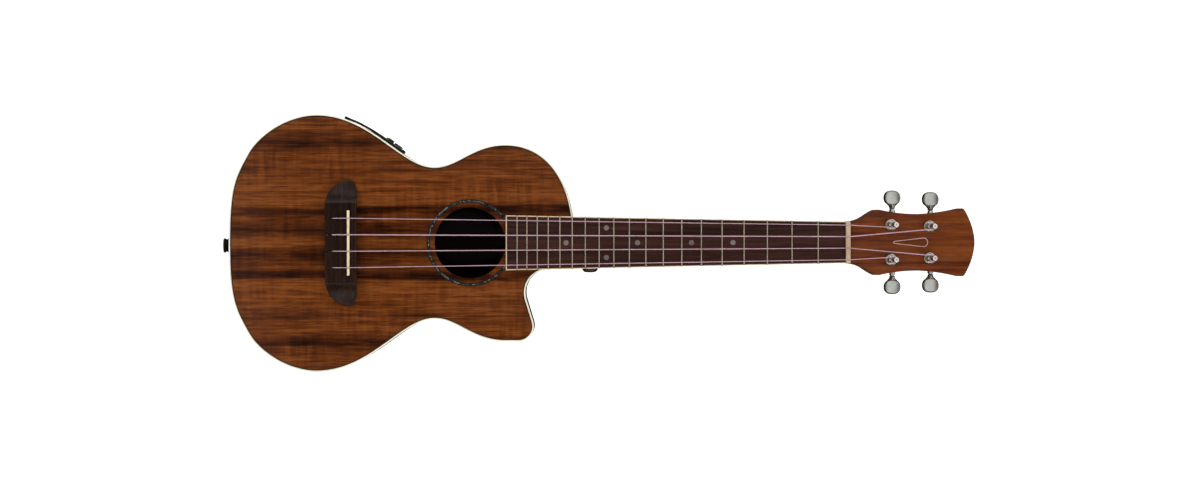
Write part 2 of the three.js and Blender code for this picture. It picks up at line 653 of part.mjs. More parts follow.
function stringPath(i) {
  const radius = STRING_RADII[i];
  const saddleY = stringY(i, STRING_PITCH_SADDLE);
  const nutY = stringY(i, STRING_PITCH_NUT);
  const { place, side } = STRING_TUNERS[i];
  const { s, y } = TUNER_PLACES[place];
  const saddleZ = TOP + SADDLE_HEIGHT + radius;
  const points = [
    new THREE.Vector3(BRIDGE_BACK + 1.5, saddleY, TOP + 4.6),
    new THREE.Vector3(STRING_SLOT_END - 4, saddleY, TOP + 4.9),
    new THREE.Vector3(STRING_SLOT_END - 0.4, saddleY, TOP + BRIDGE_HEIGHT + 0.15 + radius),
    new THREE.Vector3(SADDLE_X - 1.6, saddleY, saddleZ - 0.35),
    new THREE.Vector3(SADDLE_X, saddleY, saddleZ),
    new THREE.Vector3(SADDLE_X + 1.6, saddleY, saddleZ - 0.01),
    new THREE.Vector3(NUT_X + 0.6, nutY, nutStringZ(i) + 0.02),
    new THREE.Vector3(NUT_X + NUT_LENGTH - 0.6, nutY, nutStringZ(i)),
  ];
  const wrap = WINDING.radius + GAP + radius;
  const pitch = radius * 2.1;
  const steps = Math.round(WINDING.turns * WINDING.perTurn);
  for (let k = 0; k <= steps; k += 1) {
    const turn = k / WINDING.perTurn;
    const angle = side * (-Math.PI / 2 + turn * Math.PI * 2);
    const height = WINDING.top - radius - turn * pitch;
    points.push(onHead(s + wrap * Math.cos(angle), side * y + wrap * Math.sin(angle), height));
  }
  return points;
}

function makeStrings() {
  STRING_RADII.forEach((radius, i) =>
    add(root, `string_${i + 1}`, tube(stringPath(i), radius, 5), NYLON),
  );
}

// ---- tuners ----
// In a tuner's own frame X runs along the head, Y out to the button and Z out of the head's face.

function wormThread() {
  const turns = 2.5; // puts a gap between two turns where the gear's first tooth reaches in
  const perTurn = 8;
  const sections = [];
  for (let i = 0; i <= turns * perTurn; i += 1) {
    const turn = i / perTurn;
    const angle = turn * Math.PI * 2;
    const y = (turn - turns / 2) * WORM_LEAD;
    const at = (radius, dy) =>
      new THREE.Vector3(radius * Math.sin(angle), y + dy, radius * Math.cos(angle));
    sections.push([at(1.4, 0.42), at(2.55, 0.18), at(2.55, -0.18), at(1.4, -0.42)]);
  }
  return new LoftGeometry(sections, { capStart: true, capEnd: true });
}

function wormShaft() {
  const core = turned(
    [
      [0, -7], [SHAFT_RADIUS, -7], [SHAFT_RADIUS, 6.2], [2.3, 6.2], [2.3, 7.4],
      [SHAFT_RADIUS, 7.4], [SHAFT_RADIUS, 20], [0, 20],
    ],
    10,
    'y',
  );
  return carve([core, wormThread()]);
}

function gearWheel() {
  const rootRadius = GEAR_PITCH_R - 0.65;
  const outline = [];
  for (let i = 0; i < GEAR_TEETH; i += 1) {
    const centre = (i / GEAR_TEETH) * Math.PI * 2;
    for (const [radius, turn] of [[rootRadius, -0.12], [GEAR_PITCH_R + 0.1, 0], [rootRadius, 0.12]]) {
      const angle = centre + turn;
      outline.push(new THREE.Vector2(radius * Math.cos(angle), radius * Math.sin(angle)));
    }
  }
  return prism(outline, WORM_DEPTH - 1.2, WORM_DEPTH + 1.2, [circle(0, 0, 1.95, 12)]);
}

function stringPost() {
  const blank = turned(
    [
      [0, -22.6], [1.85, -22.6], [1.85, -15], [2.9, -15], [2.9, 3.6], [WINDING.radius, 4.2],
      [WINDING.radius, 9.6], [2.5, 10.2], [2.5, 14.8], [2.2, 15.5], [0, 15.5],
    ],
    12,
  );
  const hole = new THREE.CylinderGeometry(0.75, 0.75, 10, 6).rotateZ(Math.PI / 2).translate(0, 0, 12);
  return carve([blank], [hole]);
}

// The screwed bushing on the head's face: a washer, a hexagon and a sleeve in the head.
function bushing() {
  const drum = (top, bottom, height, sides, z) =>
    new THREE.CylinderGeometry(top, bottom, height, sides).rotateX(Math.PI / 2).translate(0, 0, z);
  const washer = drum(5.1, 5.1, 0.9, 18, 0.55);
  const hex = drum(4.1, 4.7, 2.2, 6, 1.9);
  const sleeve = drum(4.1, 4.1, 10, 12, -4.4);
  const bore = drum(3.2, 3.2, 30, 12, 0);
  return carve([washer, hex, sleeve], [bore]);
}

// The gear box under the head: an open-topped cover with a screw ear and the worm's sleeve.
function housing() {
  const { x0, x1, y0, y1, z0, wall, corner } = HOUSING;
  const top = -HEAD_THICKNESS - 0.2;
  const rounded = (margin) => {
    const shape = new THREE.Shape();
    const [left, right, low, high] = [x0 + margin, x1 - margin, y0 + margin, y1 - margin];
    const r = corner - margin;
    shape.absarc(right - r, low + r, r, -Math.PI / 2, 0);
    shape.absarc(right - r, high - r, r, 0, Math.PI / 2);
    shape.absarc(left + r, high - r, r, Math.PI / 2, Math.PI);
    shape.absarc(left + r, low + r, r, Math.PI, Math.PI * 1.5);
    return shape.getPoints(2);
  };
  const onWorm = (profile) => turned(profile, 12, 'y').translate(GEAR_CENTRE, 0, WORM_DEPTH);
  const shell = prism(rounded(0), z0, top);
  const ear = prism(circle(x0 - 1, 0, 3.4, 12), top - 2, top);
  const cavity = prism(rounded(wall), z0 + wall, top + 1);
  const screwHole = prism(circle(x0 - 1.6, 0, 1.2, 8), top - 5, top + 1);
  const sleeve = onWorm([[0, y1 - 0.8], [2.6, y1 - 0.8], [2.3, y1 + 4.8], [0, y1 + 4.8]]);
  const bore = onWorm([[0, y1 - 4], [1.95, y1 - 4], [1.95, y1 + 9], [0, y1 + 9]]);
  return geometryOf(
    solid(shell).add(solid(ear)).subtract(solid(cavity)).add(solid(sleeve))
      .subtract(solid(bore)).subtract(solid(screwHole)),
  );
}

function tunerButton() {
  const oval = new THREE.Shape();
  oval.absellipse(0, BUTTON.y, BUTTON.halfAlong, BUTTON.half, 0, Math.PI * 2);
  const disc = new THREE.ExtrudeGeometry(oval, {
    depth: BUTTON.thickness,
    bevelThickness: 1.2,
    bevelSize: BUTTON.edge,
    bevelSegments: 1,
    curveSegments: 8,
  }).translate(0, 0, -BUTTON.thickness / 2);
  const collar = turned([[0, 14.2], [2.1, 14.2], [2.2, 16.4], [3.4, 18.6], [2.6, 22], [0, 22]], 10, 'y');
  const boreR = SHAFT_RADIUS + 0.15;
  const bore = turned([[0, 10], [boreR, 10], [boreR, 20.3], [0, 20.3]], 10, 'y');
  return carve([disc, collar], [bore]).translate(GEAR_CENTRE, 0, WORM_DEPTH);
}

function makeTuners() {
  const head = new THREE.Group();
  head.applyMatrix4(headMatrix);
  root.add(head);
  STRING_TUNERS.forEach(({ place, side }, i) => {
    const { s, y } = TUNER_PLACES[place];
    const tuner = new THREE.Group();
    tuner.position.set(s, side * y, 0);
    tuner.scale.y = side;
    head.add(tuner);
    const name = `tuner_${i + 1}_`;
    add(tuner, `${name}housing`, housing(), CHROME);
    add(tuner, `${name}bushing`, bushing(), CHROME);
    add(tuner, `${name}post`, stringPost(), CHROME);
    add(tuner, `${name}gear`, gearWheel(), BRASS);
    add(tuner, `${name}worm_shaft`, wormShaft().translate(GEAR_CENTRE, 0, WORM_DEPTH), CHROME);
    add(tuner, `${name}button`, tunerButton(), CHROME);
  });
}

// ---- preamp ----
// A block that follows the bass side, from one distance inside the rim's face to another.
function preampBlock(outer, inner, margin, from, to, low = PREAMP_LOW, high = PREAMP_HIGH) {
  const stations = 9;
  const rim = Array.from({ length: stations }, (_, i) =>
    bassRimAt(to + ((from - to) * i) / (stations - 1)),
  );
  const line = (distance) =>
    rim.map(({ point, outward }) => point.clone().addScaledVector(outward, -distance));
  return prism([...line(outer), ...line(inner).reverse()], low + margin, high - margin);
}

function makePreamp() {
  const outside = -GAP - PREAMP_THICKNESS;
  const doorwayEnd = DOOR.pivot + DOOR.round + GAP / 2;
  const doorway = preampBlock(-9, 5, -GAP, DOOR.from - GAP, doorwayEnd, DOOR.low, DOOR.high);
  const shaftHole = (x, z) => knobPiece([[0, -14], [1.5, -14], [1.5, 6], [0, 6]], x, z, 12);
  const holes = KNOB_COLUMNS.flatMap((x) => KNOB_ROWS.map((z) => shaftHole(x, z)));
  const panel = preampBlock(outside, -GAP, 0, PREAMP_FROM, PREAMP_TO);
  add(root, 'preamp_panel', carve([panel], [doorway, ...holes]), BLACK);

  // An open box behind the panel.
  const { depth, margin, wall, ends } = PREAMP_TRAY;
  const trayEnds = [PREAMP_FROM + ends, PREAMP_TO - ends + 0.9];
  const tray = preampBlock(0, depth, margin, ...trayEnds);
  const hollow = preampBlock(-9, depth - wall, margin + wall, trayEnds[0] + wall, trayEnds[1] - wall);
  add(root, 'preamp_case', carve([tray], [hollow]), BLACK);

  const leaf = preampBlock(outside, -GAP, 0, DOOR.from, DOOR.pivot, DOOR.low, DOOR.high);
  const hinge = bassRimAt(DOOR.pivot);
  const axis = hinge.point.clone().addScaledVector(hinge.outward, GAP + DOOR.round);
  const roundEnd = prism(circle(axis.x, axis.y, DOOR.round, 12), DOOR.low, DOOR.high);
  const latchEnds = [DOOR.from + 0.6, DOOR.from + 2.6];
  const latch = preampBlock(outside - 0.7, outside + 0.4, 8, ...latchEnds, DOOR.low, DOOR.high);
  add(root, 'battery_door', carve([leaf, roundEnd, latch]), BLACK);

  const face = PREAMP_THICKNESS + GAP;
  const knobEnd = face + KNOB_HEIGHT;
  const knob = [
    [0, -5], [1.2, -5], [1.2, face + 0.3], [KNOB_RADIUS, face + 0.3],
    [KNOB_RADIUS - 0.3, knobEnd], [0, knobEnd],
  ];
  // The key stands further off the panel, to leave room for its travel.
  const key = [
    [0, -5], [1.2, -5], [1.2, face + 1], [2.9, face + 1], [2.7, knobEnd + 0.4], [0, knobEnd + 0.4],
  ];
  const [near, far] = KNOB_COLUMNS;
  const [low, high] = KNOB_ROWS;
  add(root, 'volume_knob', knobPiece(knob, far, high), BLACK);
  add(root, 'treble_knob', knobPiece(knob, far, low), BLACK);
  add(root, 'bass_knob', knobPiece(knob, near, high), BLACK);
  add(root, 'tuner_key', knobPiece(key, near, low), BLACK);
}

// A turned piece that stands square on the rim; heights are measured out from the rim's face.
function knobPiece(profile, x, z, segments = 18) {
  const { point, outward } = bassRimAt(x);
  return turned(profile, segments, 'y')
    .rotateZ(Math.atan2(outward.y, outward.x) - Math.PI / 2)
    .translate(point.x, point.y, z);
}

// ---- jack and strap button ----
function makeHardware() {
  const barrel = turned([[0, -3.4], [4.5, -3.4], [4.5, 34], [0, 34]], 24, 'x');
  const socket = turned([[0, -6], [SOCKET_R, -6], [SOCKET_R, 30], [0, 30]], 20, 'x');
  add(root, 'endpin_jack', carve([barrel], [socket]).translate(0, JACK_Y, JACK_Z), CHROME);
  const flange = turned(
    [
      [4.7, -0.3], [7, -0.3], [7, -1.2], [5.9, -1.9], [5.9, -2.5], [6.4, -3.1], [5.8, -3.9],
      [4.7, -3.9], [4.7, -0.3],
    ].reverse(),
    18,
    'x',
  );
  add(root, 'endpin_nut', flange.translate(0, JACK_Y, JACK_Z), BLACK);

  const button = turned(
    [
      [0, -26.2], [3.4, -26.2], [5.8, -25.2], [7, -23], [6.6, -21.6], [3.6, -20],
      [3.4, -18.4], [4.6, -16.9], [0, -16.9],
    ],
    16,
    'y',
  );
  const pilot = turned([[0, -24], [1.75, -24], [1.75, -10], [0, -10]], 12, 'y');
  add(root, 'strap_button', carve([button], [pilot]).translate(STRAP_X, 0, STRAP_Z), CHROME);
}

makeShell();
makeLinings();
makeBlocksAndBraces();
makeRosette();
makeBridge();
makeNeck();
makeFretboard();
makeStrings();
makeTuners();
makePreamp();
makeHardware();

const bounds = new THREE.Box3().setFromObject(root);
root.position.x = -(bounds.min.x + bounds.max.x) / 2;
export default root;
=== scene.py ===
import json
import math
import random

import bmesh
import bpy
import numpy as np
from mathutils import Matrix, Vector
from mathutils.geometry import tessellate_polygon


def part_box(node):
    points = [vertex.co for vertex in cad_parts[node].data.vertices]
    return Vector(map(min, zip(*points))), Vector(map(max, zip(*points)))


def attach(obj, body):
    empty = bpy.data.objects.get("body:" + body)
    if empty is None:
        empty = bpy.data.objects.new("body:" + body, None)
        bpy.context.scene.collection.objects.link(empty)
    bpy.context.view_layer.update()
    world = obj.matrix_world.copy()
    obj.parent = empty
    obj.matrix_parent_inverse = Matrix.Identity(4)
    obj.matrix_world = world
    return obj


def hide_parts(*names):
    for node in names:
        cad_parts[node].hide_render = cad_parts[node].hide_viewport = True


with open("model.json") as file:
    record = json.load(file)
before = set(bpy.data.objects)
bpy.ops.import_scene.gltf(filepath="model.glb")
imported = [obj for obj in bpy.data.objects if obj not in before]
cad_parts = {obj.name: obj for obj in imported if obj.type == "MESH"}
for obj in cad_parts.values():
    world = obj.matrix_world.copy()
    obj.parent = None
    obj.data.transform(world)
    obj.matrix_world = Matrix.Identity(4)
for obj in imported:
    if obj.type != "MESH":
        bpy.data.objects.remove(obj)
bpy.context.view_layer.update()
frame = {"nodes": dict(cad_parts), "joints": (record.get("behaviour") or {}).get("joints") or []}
rng = random.Random(7)

# ---- dimensions, as in the CAD model ----
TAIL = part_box("binding_top")[0].x * 1000
SCALE_LENGTH = 431.8
FRETS = 19
NUT_X = 540.7
NUT_LENGTH = 4.2
DEPTH = 66.0
BODY_END = 303.2
PLATE = 2.0
SIDE = 1.8
BINDING = 1.35
PURFLING = 0.95
BINDING_HEIGHT = 5.0
SOUNDHOLE_X = 211.7
SOUNDHOLE_R = 31.0
ROSETTE = (35.2, 38.2)
BOARD_START = 243.2
BOARD_HALF_START = 24.05
BOARD_HALF_NUT = 18.35
BOARD_THICKNESS = 5.5
BOARD_TOP = DEPTH + BOARD_THICKNESS
BRIDGE_BACK = 84.8
BRIDGE_FRONT = 112.5
BRIDGE_HALF = 55.0
BRIDGE_BLOCK_HALF = 35.1
BRIDGE_HEIGHT = 8.0
SADDLE_X = 105.45
SADDLE_HEIGHT = 10.6
STRING_SLOT_END = 93.0
PITCH_SADDLE = 14.4
PITCH_NUT = 10.1
STRING_RADII = (0.36, 0.5, 0.42, 0.36)
NUT_HEIGHT = 7.5
HEAD_ANGLE = math.radians(14)
HEAD_THICKNESS = 14.0
HEAD_FACE = 1.6
HEAD_LENGTH = 115.0
VENEER = 0.9
TUNER_PLACES = ((37.5, 15.35), (73.1, 14.05))
STRING_TUNERS = ((0, 1), (1, 1), (1, -1), (0, -1))
GEAR_CENTRE = 7.2
WORM_DEPTH = -19.5
JACK_Y = -2.0
JACK_Z = 33.0
STRAP_X = 316.7
STRAP_Z = 36.0
DOT_FRETS = (5, 7, 10, 12, 15)
PANEL = (100.4, 152.1)
PANEL_FACE = 2.3
DOOR = (103.2, 117.5)
DOOR_HEIGHTS = (19.15, 46.85)
KEY_PLACE = (138.9, 24.5)


# ---- curves ----
def bezier(points, steps):
    p = [np.array(point, float) for point in points]
    t = np.linspace(0, 1, steps + 1)[:, None]
    s = 1 - t
    if len(p) == 3:
        return s**2 * p[0] + 2 * s * t * p[1] + t**2 * p[2]
    return s**3 * p[0] + 3 * s**2 * t * p[1] + 3 * s * t**2 * p[2] + t**3 * p[3]


def arc(x, y, radius, start, end, steps):
    a = np.linspace(start, end, steps + 1)
    return np.column_stack([x + radius * np.cos(a), y + radius * np.sin(a)])


def circle(x, y, radius, steps):
    return arc(x, y, radius, 0, math.tau, steps)[:-1]


def oval(x, y, rx, ry, power, steps):
    """A superellipse; power 2 is an ellipse and more is squarer."""
    a = np.linspace(0, math.tau, steps + 1)[:-1]
    c, s = np.cos(a), np.sin(a)
    return np.column_stack(
        [x + rx * np.sign(c) * abs(c) ** (2 / power), y + ry * np.sign(s) * abs(s) ** (2 / power)]
    )


def unit(v):
    return v / np.maximum(np.linalg.norm(v, axis=-1, keepdims=True), 1e-9)


def box(x0, x1, y0, y1):
    return [(x0, y0), (x1, y0), (x1, y1), (x0, y1)]


def inset(loop, distance):
    """A counterclockwise loop moved inwards; a clockwise one, such as a hole, moves outwards."""
    before = unit(loop - np.roll(loop, 1, 0))
    after = unit(np.roll(loop, -1, 0) - loop)
    tangent = unit(before + after)
    inward = np.column_stack([-tangent[:, 1], tangent[:, 0]])
    share = np.maximum((before * tangent).sum(1), 0.4)
    return loop + inward * (distance / share)[:, None]


def rounded(points, radius, steps=3, closed=False):
    """A path of straight stretches with its corners rounded off, in two or three dimensions."""
    points = np.array(points, float)
    count = len(points)
    out = []
    for i, p in enumerate(points):
        if not closed and i in (0, count - 1):
            out.append(p)
            continue
        to_last, to_next = points[i - 1] - p, points[(i + 1) % count] - p
        lengths = np.linalg.norm(to_last), np.linalg.norm(to_next)
        start = p + to_last / lengths[0] * min(radius, 0.45 * lengths[0])
        end = p + to_next / lengths[1] * min(radius, 0.45 * lengths[1])
        out.extend(bezier((start, p, end), steps))
    return np.array(out)


def body_outline():
    curves = (
        ((0, 0), (0, 48.5), (4.5, 57.7), (17, 79.7)),
        ((17, 79.7), (26.7, 96.6), (52.5, 113.2), (77, 113.2)),
        ((77, 113.2), (125, 113.2), (152, 67.1), (180.5, 67.1)),
        ((180.5, 67.1), (200.5, 67.1), (213.7, 86.7), (242.5, 86.7)),
    )
    shoulder = ((242.5, 86.7), (274.7, 86.7), (BODY_END, 61.7), (BODY_END, 0))
    horn, cutaway = (254, -73.1, 13.6), (280.2, -43.7, 20)
    dx, dy = cutaway[0] - horn[0], cutaway[1] - horn[1]
    turn = math.atan2(dy, dx) - math.acos((horn[2] + cutaway[2]) / math.hypot(dx, dy))
    half = np.concatenate([bezier(c, 26)[1:] for c in curves])
    treble = np.concatenate(
        [
            [[0, 0]],
            half * [1, -1],
            arc(*horn, -math.pi / 2, turn, 20),
            arc(*cutaway, math.pi + turn, math.pi / 2, 20),
            [[302.6, -23.2]],
            [[BODY_END - 0.05, -8]],
            [[BODY_END, 0]],
        ]
    )
    bass = np.concatenate([half, bezier(shoulder, 40)[1:-1]])
    return treble, bass


TREBLE, BASS = body_outline()
OUTLINE = np.concatenate([TREBLE, BASS[::-1]])


def rim_at(u):
    """The point of the bass side at u, and the outward direction there."""
    i = int(np.argmax(BASS[:, 0] > u))
    a, b = BASS[i - 1], BASS[i]
    share = (u - a[0]) / (b[0] - a[0])
    along = unit(b - a)
    return a + (b - a) * share, np.array([-along[1], along[0]])


# ---- mesh parts: each is (points, faces) ----
def slab(outer, bottom, top, edge=0.3, holes=(), steps=3):
    """A plate between two heights with all its edges rounded."""
    loops = [np.array(outer, float)] + [np.array(h, float)[::-1] for h in holes]
    bend = np.linspace(0, math.pi / 2, steps + 1)
    rise = [(edge * (1 - math.sin(a)), top - edge * (1 - math.cos(a))) for a in bend]
    fall = [(d, bottom + top - z) for d, z in reversed(rise)]
    verts, faces, caps, start = [], [], ([], []), 0
    for loop in loops:
        count = len(loop)
        rows = rise + fall
        for distance, z in rows:
            verts.append(np.column_stack([inset(loop, distance), np.full(count, z)]))
        for k in range(len(rows) - 1):
            a, b = start + k * count, start + (k + 1) * count
            for i in range(count):
                j = (i + 1) % count
                faces.append((a + i, b + i, b + j, a + j))
        caps[0].append(range(start, start + count))
        caps[1].append(range(start + (len(rows) - 1) * count, start + len(rows) * count))
        start += len(rows) * count
    verts = np.concatenate(verts)
    for cap in caps:
        index = [i for loop in cap for i in loop]
        polygons = [[Vector((*verts[i][:2], 0)) for i in loop] for loop in cap]
        faces += [tuple(index[i] for i in tri) for tri in tessellate_polygon(polygons)]
    return verts, faces


def band(loop, profile, closed=True):
    """A closed profile of (inset, height) carried along a loop, or along part of one."""
    rows = [np.column_stack([inset(OUTLINE, d), np.full(len(OUTLINE), z)])[loop] for d, z in profile]
    return sweep(rows, closed)


def between(a, b, count, closed=True):
    """Faces between two rows of points, whose first indices are a and b."""
    pairs = [(i, (i + 1) % count) for i in range(count if closed else count - 1)]
    return [(a + i, a + j, b + j, b + i) for i, j in pairs]


def sweep(rows, closed):
    count, turns = len(rows[0]), len(rows)
    faces = []
    for k in range(turns):
        faces += between(k * count, (k + 1) % turns * count, count, closed)
    if not closed:
        faces.append(tuple(k * count for k in range(turns)))
        faces.append(tuple(k * count + count - 1 for k in reversed(range(turns))))
    return np.concatenate(rows), faces


def loft(sections):
    """Closed sections joined one after another, with both ends closed."""
    count = len(sections[0])
    faces = []
    last = (len(sections) - 1) * count
    for start in range(0, last, count):
        faces += between(start, start + count, count)
    faces.append(tuple(range(count)))
    faces.append(tuple(range(last, last + count)))
    return np.concatenate([np.array(s, float) for s in sections]), faces


def mirrored(pairs):
    return [*((-a, b) for a, b in reversed(pairs)), *pairs]


AXES = {"z": (0, 1, 2), "y": (0, 2, 1), "x": (1, 2, 0)}


def lathe(profile, segments=40, axis="z", centre=(0, 0, 0)):
    """A turned part. The profile is (radius, height); one that misses the axis makes a ring."""
    profile = np.array(profile, float)
    a = np.linspace(0, math.tau, segments + 1)[:-1]
    verts, rings = [], []
    for radius, height in profile:
        if radius < 1e-6:
            rings.append([len(verts)])
            verts.append((0, 0, height))
            continue
        rings.append(list(range(len(verts), len(verts) + segments)))
        verts += [(radius * math.cos(t), radius * math.sin(t), height) for t in a]
    faces = []
    last = len(rings) if len(rings[0]) > 1 else len(rings) - 1
    for k in range(last):
        low, high = rings[k], rings[(k + 1) % len(rings)]
        for i in range(segments):
            j = (i + 1) % segments
            if len(low) == 1 and len(high) == 1:
                continue
            if len(low) == 1:
                faces.append((low[0], high[j], high[i]))
            elif len(high) == 1:
                faces.append((low[i], low[j], high[0]))
            else:
                faces.append((low[i], low[j], high[j], high[i]))
    order = AXES[axis]
    placed = np.array(verts, float)
    out = np.empty_like(placed)
    for k, target in enumerate(order):
        out[:, target] = placed[:, k]
    return out + np.array(centre, float), faces


def tube(path, radius, sides=10):
    """A round tube along a path, with rounded ends; the radius may change along it."""
    path = np.array(path, float)
    radius = np.broadcast_to(np.array(radius, float), len(path))
    tangent = unit(np.gradient(path, axis=0))
    up = np.array([0, 0, 1.0]) if abs(tangent[0][2]) < 0.9 else np.array([0, 1.0, 0])
    sections = []
    a = np.linspace(0, math.tau, sides + 1)[:-1]
    for i, (p, t, r) in enumerate(zip(path, tangent, radius)):
        across = unit(np.cross(up, t))
        up = np.cross(t, across)
        ring = np.cos(a)[:, None] * across + np.sin(a)[:, None] * up
        if i == 0:
            sections += [p - t * r * 0.9 + ring * r * 0.3, p - t * r * 0.6 + ring * r * 0.8]
        sections.append(p + ring * r)
        if i == len(path) - 1:
            sections += [p + t * r * 0.6 + ring * r * 0.8, p + t * r * 0.9 + ring * r * 0.3]
    return loft(sections)


def block(x0, x1, y0, y1, z0, z1, edge=0.2):
    return slab(rounded(box(x0, x1, y0, y1), edge * 1.2, 3, True), z0, z1, edge)


def moved(part, matrix):
    verts, faces = part
    m = np.array(matrix, float)
    return verts @ m[:3, :3].T + m[:3, 3], faces


def shifted(part, x=0.0, y=0.0, z=0.0):
    return part[0] + np.array([x, y, z], float), part[1]


def joined(parts):
    verts, faces, start = [], [], 0
    for points, polygons in parts:
        verts.append(points)
        faces += [tuple(i + start for i in polygon) for polygon in polygons]
        start += len(points)
    return np.concatenate(verts), faces


# ---- objects ----
def raw(name, parts):
    """An object in the row frame from one or more mesh parts."""
    verts, faces = joined(parts)
    verts = (verts + [TAIL, 0, 0]) / 1000
    mesh = bpy.data.meshes.new(name)
    mesh.from_pydata(verts.tolist(), [], faces)
    work = bmesh.new()
    work.from_mesh(mesh)
    bmesh.ops.recalc_face_normals(work, faces=work.faces)
    work.to_mesh(mesh)
    work.free()
    obj = bpy.data.objects.new(name, mesh)
    bpy.context.scene.collection.objects.link(obj)
    return obj


def bake(obj):
    """The object's modifiers become its mesh."""
    graph = bpy.context.evaluated_depsgraph_get()
    mesh = bpy.data.meshes.new_from_object(obj.evaluated_get(graph))
    old = obj.data
    obj.modifiers.clear()
    obj.data = mesh
    bpy.data.meshes.remove(old)


def discard(obj):
    mesh = obj.data
    bpy.data.objects.remove(obj)
    bpy.data.meshes.remove(mesh)


def carve(obj, parts):
    """Cuts parts that don't overlap each other out of the object."""
    tool = raw(obj.name + "_tool", parts)
    cut = obj.modifiers.new("cut", "BOOLEAN")
    cut.object = tool
    cut.operation = "DIFFERENCE"
    cut.solver = "EXACT"
    bake(obj)
    discard(tool)


def finish_piece(obj, material, body="instrument", slot=None, angle=35):
    """Dresses a piece. One that has a CAD node's name, before any number after a dot, stands for it."""
    mesh = obj.data
    mesh.materials.clear()
    mesh.materials.append(material)
    mesh.polygons.foreach_set("use_smooth", [True] * len(mesh.polygons))
    mesh.set_sharp_from_angle(angle=math.radians(angle))
    node = obj.name.split(".")[0]
    if node in frame["nodes"]:
        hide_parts(node)
    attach(obj, body)
    return obj


def make(name, parts, material, cuts=(), **rest):
    """A piece from mesh parts, with groups of parts cut out of it one group after another."""
    obj = raw(name, parts)
    for group in cuts:
        carve(obj, group)
    return finish_piece(obj, material, **rest)


def join_into(obj, extra):
    """Adds another object's mesh to the object, as separate shells, and removes the other."""
    work = bmesh.new()
    work.from_mesh(obj.data)
    work.from_mesh(extra.data)
    work.to_mesh(obj.data)
    work.free()
    discard(extra)


# ---- materials ----
def rgb(red, green, blue):
    """An sRGB colour of 0 to 255 as the linear colour that a shader takes."""
    channels = [c / 255 for c in (red, green, blue)]
    return (*[c / 12.92 if c < 0.04045 else ((c + 0.055) / 1.055) ** 2.4 for c in channels], 1.0)


class Nodes:
    """Short calls that add nodes to a tree."""

    def __init__(self, tree):
        self.tree = tree

    def node(self, kind, inputs=(), **settings):
        node = self.tree.nodes.new("ShaderNode" + kind)
        for key, value in settings.items():
            setattr(node, key, value)
        for key, value in inputs:
            if isinstance(value, bpy.types.NodeSocket):
                self.tree.links.new(value, node.inputs[key])
            else:
                node.inputs[key].default_value = value
        return node

    def vector_math(self, operation, vector, **inputs):
        pairs = [(0, vector), *inputs.items()]
        return self.node("VectorMath", pairs, operation=operation).outputs[0]

    def math(self, operation, *values):
        return self.node("Math", list(enumerate(values)), operation=operation).outputs[0]

    def vector(self, x, y, z):
        return self.node("CombineXYZ", [(0, x), (1, y), (2, z)]).outputs[0]

    def spread(self, value, low, high, new_low=0.0, new_high=1.0):
        pairs = [("Value", value), ("From Min", low), ("From Max", high)]
        pairs += [("To Min", new_low), ("To Max", new_high)]
        return self.node("MapRange", pairs).outputs[0]

    def noise(self, stretch, low=0.35, high=0.65, detail=2.0, at=None, shift=0.0):
        """Noise with so many waves per millimetre each way, its middle range spread over 0 to 1."""
        at = self.at if at is None else at
        spot = self.node("VectorMath", [(0, at), (1, stretch), (2, (shift, shift, shift))],
                         operation="MULTIPLY_ADD").outputs[0]
        cloud = self.node("TexNoise", [("Vector", spot), ("Scale", 1.0), ("Detail", detail)])
        return self.spread(cloud.outputs[0], low, high)

    def ramp(self, value, stops):
        node = self.node("ValToRGB", [(0, value)])
        elements = node.color_ramp.elements
        while len(elements) < len(stops):
            elements.new(0.5)
        for element, (position, colour) in zip(elements, stops):
            element.position = position
            element.color = colour if len(colour) == 4 else (*[colour[0]] * 3, 1)
        return node.outputs[0]

    def mix(self, share, a, b):
        """A colour between a and b. The Mix node's colours are its inputs 6 and 7 and its output 2."""
        return self.node("Mix", [(0, share), (6, a), (7, b)], data_type="RGBA").outputs[2]

    def total(self, start, *terms):
        """start + factor * value for each (value, factor)."""
        for value, factor in terms:
            start = self.math("MULTIPLY_ADD", value, factor, start)
        return start


class Paint(Nodes):
    """A node material. Its coordinates are millimetres of the row frame."""

    def __init__(self, name, **sockets):
        self.material = bpy.data.materials.new(name)
        self.material.use_nodes = True
        super().__init__(self.material.node_tree)
        self.shader = self.tree.nodes["Principled BSDF"]
        for socket, value in sockets.items():
            self.shader.inputs[socket.replace("_", " ")].default_value = value
        place = self.node("TexCoord").outputs["Object"]
        self.at = self.vector_math("SCALE", place, Scale=1000.0)
        split = self.node("SeparateXYZ", [(0, self.at)])
        self.x, self.y, self.z = split.outputs

    def finish(self, colour=None, rough=None, relief=None, depth=0.05):
        """Links colour, a roughness of (value, low, high), and a relief of the depth in millimetres."""
        if colour is not None:
            self.tree.links.new(colour, self.shader.inputs["Base Color"])
        if rough is not None:
            self.tree.links.new(self.spread(rough[0], 0, 1, *rough[1:]), self.shader.inputs["Roughness"])
        if relief is not None:
            pairs = [("Height", relief), ("Distance", depth / 1000), ("Strength", 1.0)]
            bump = self.node("Bump", pairs)
            self.tree.links.new(bump.outputs[0], self.shader.inputs["Normal"])
        return self.material


LACQUER = {"Coat_Weight": 0.25, "Coat_Roughness": 0.06, "Specular_IOR_Level": 0.2}
SATIN = {"Specular_IOR_Level": 0.16}


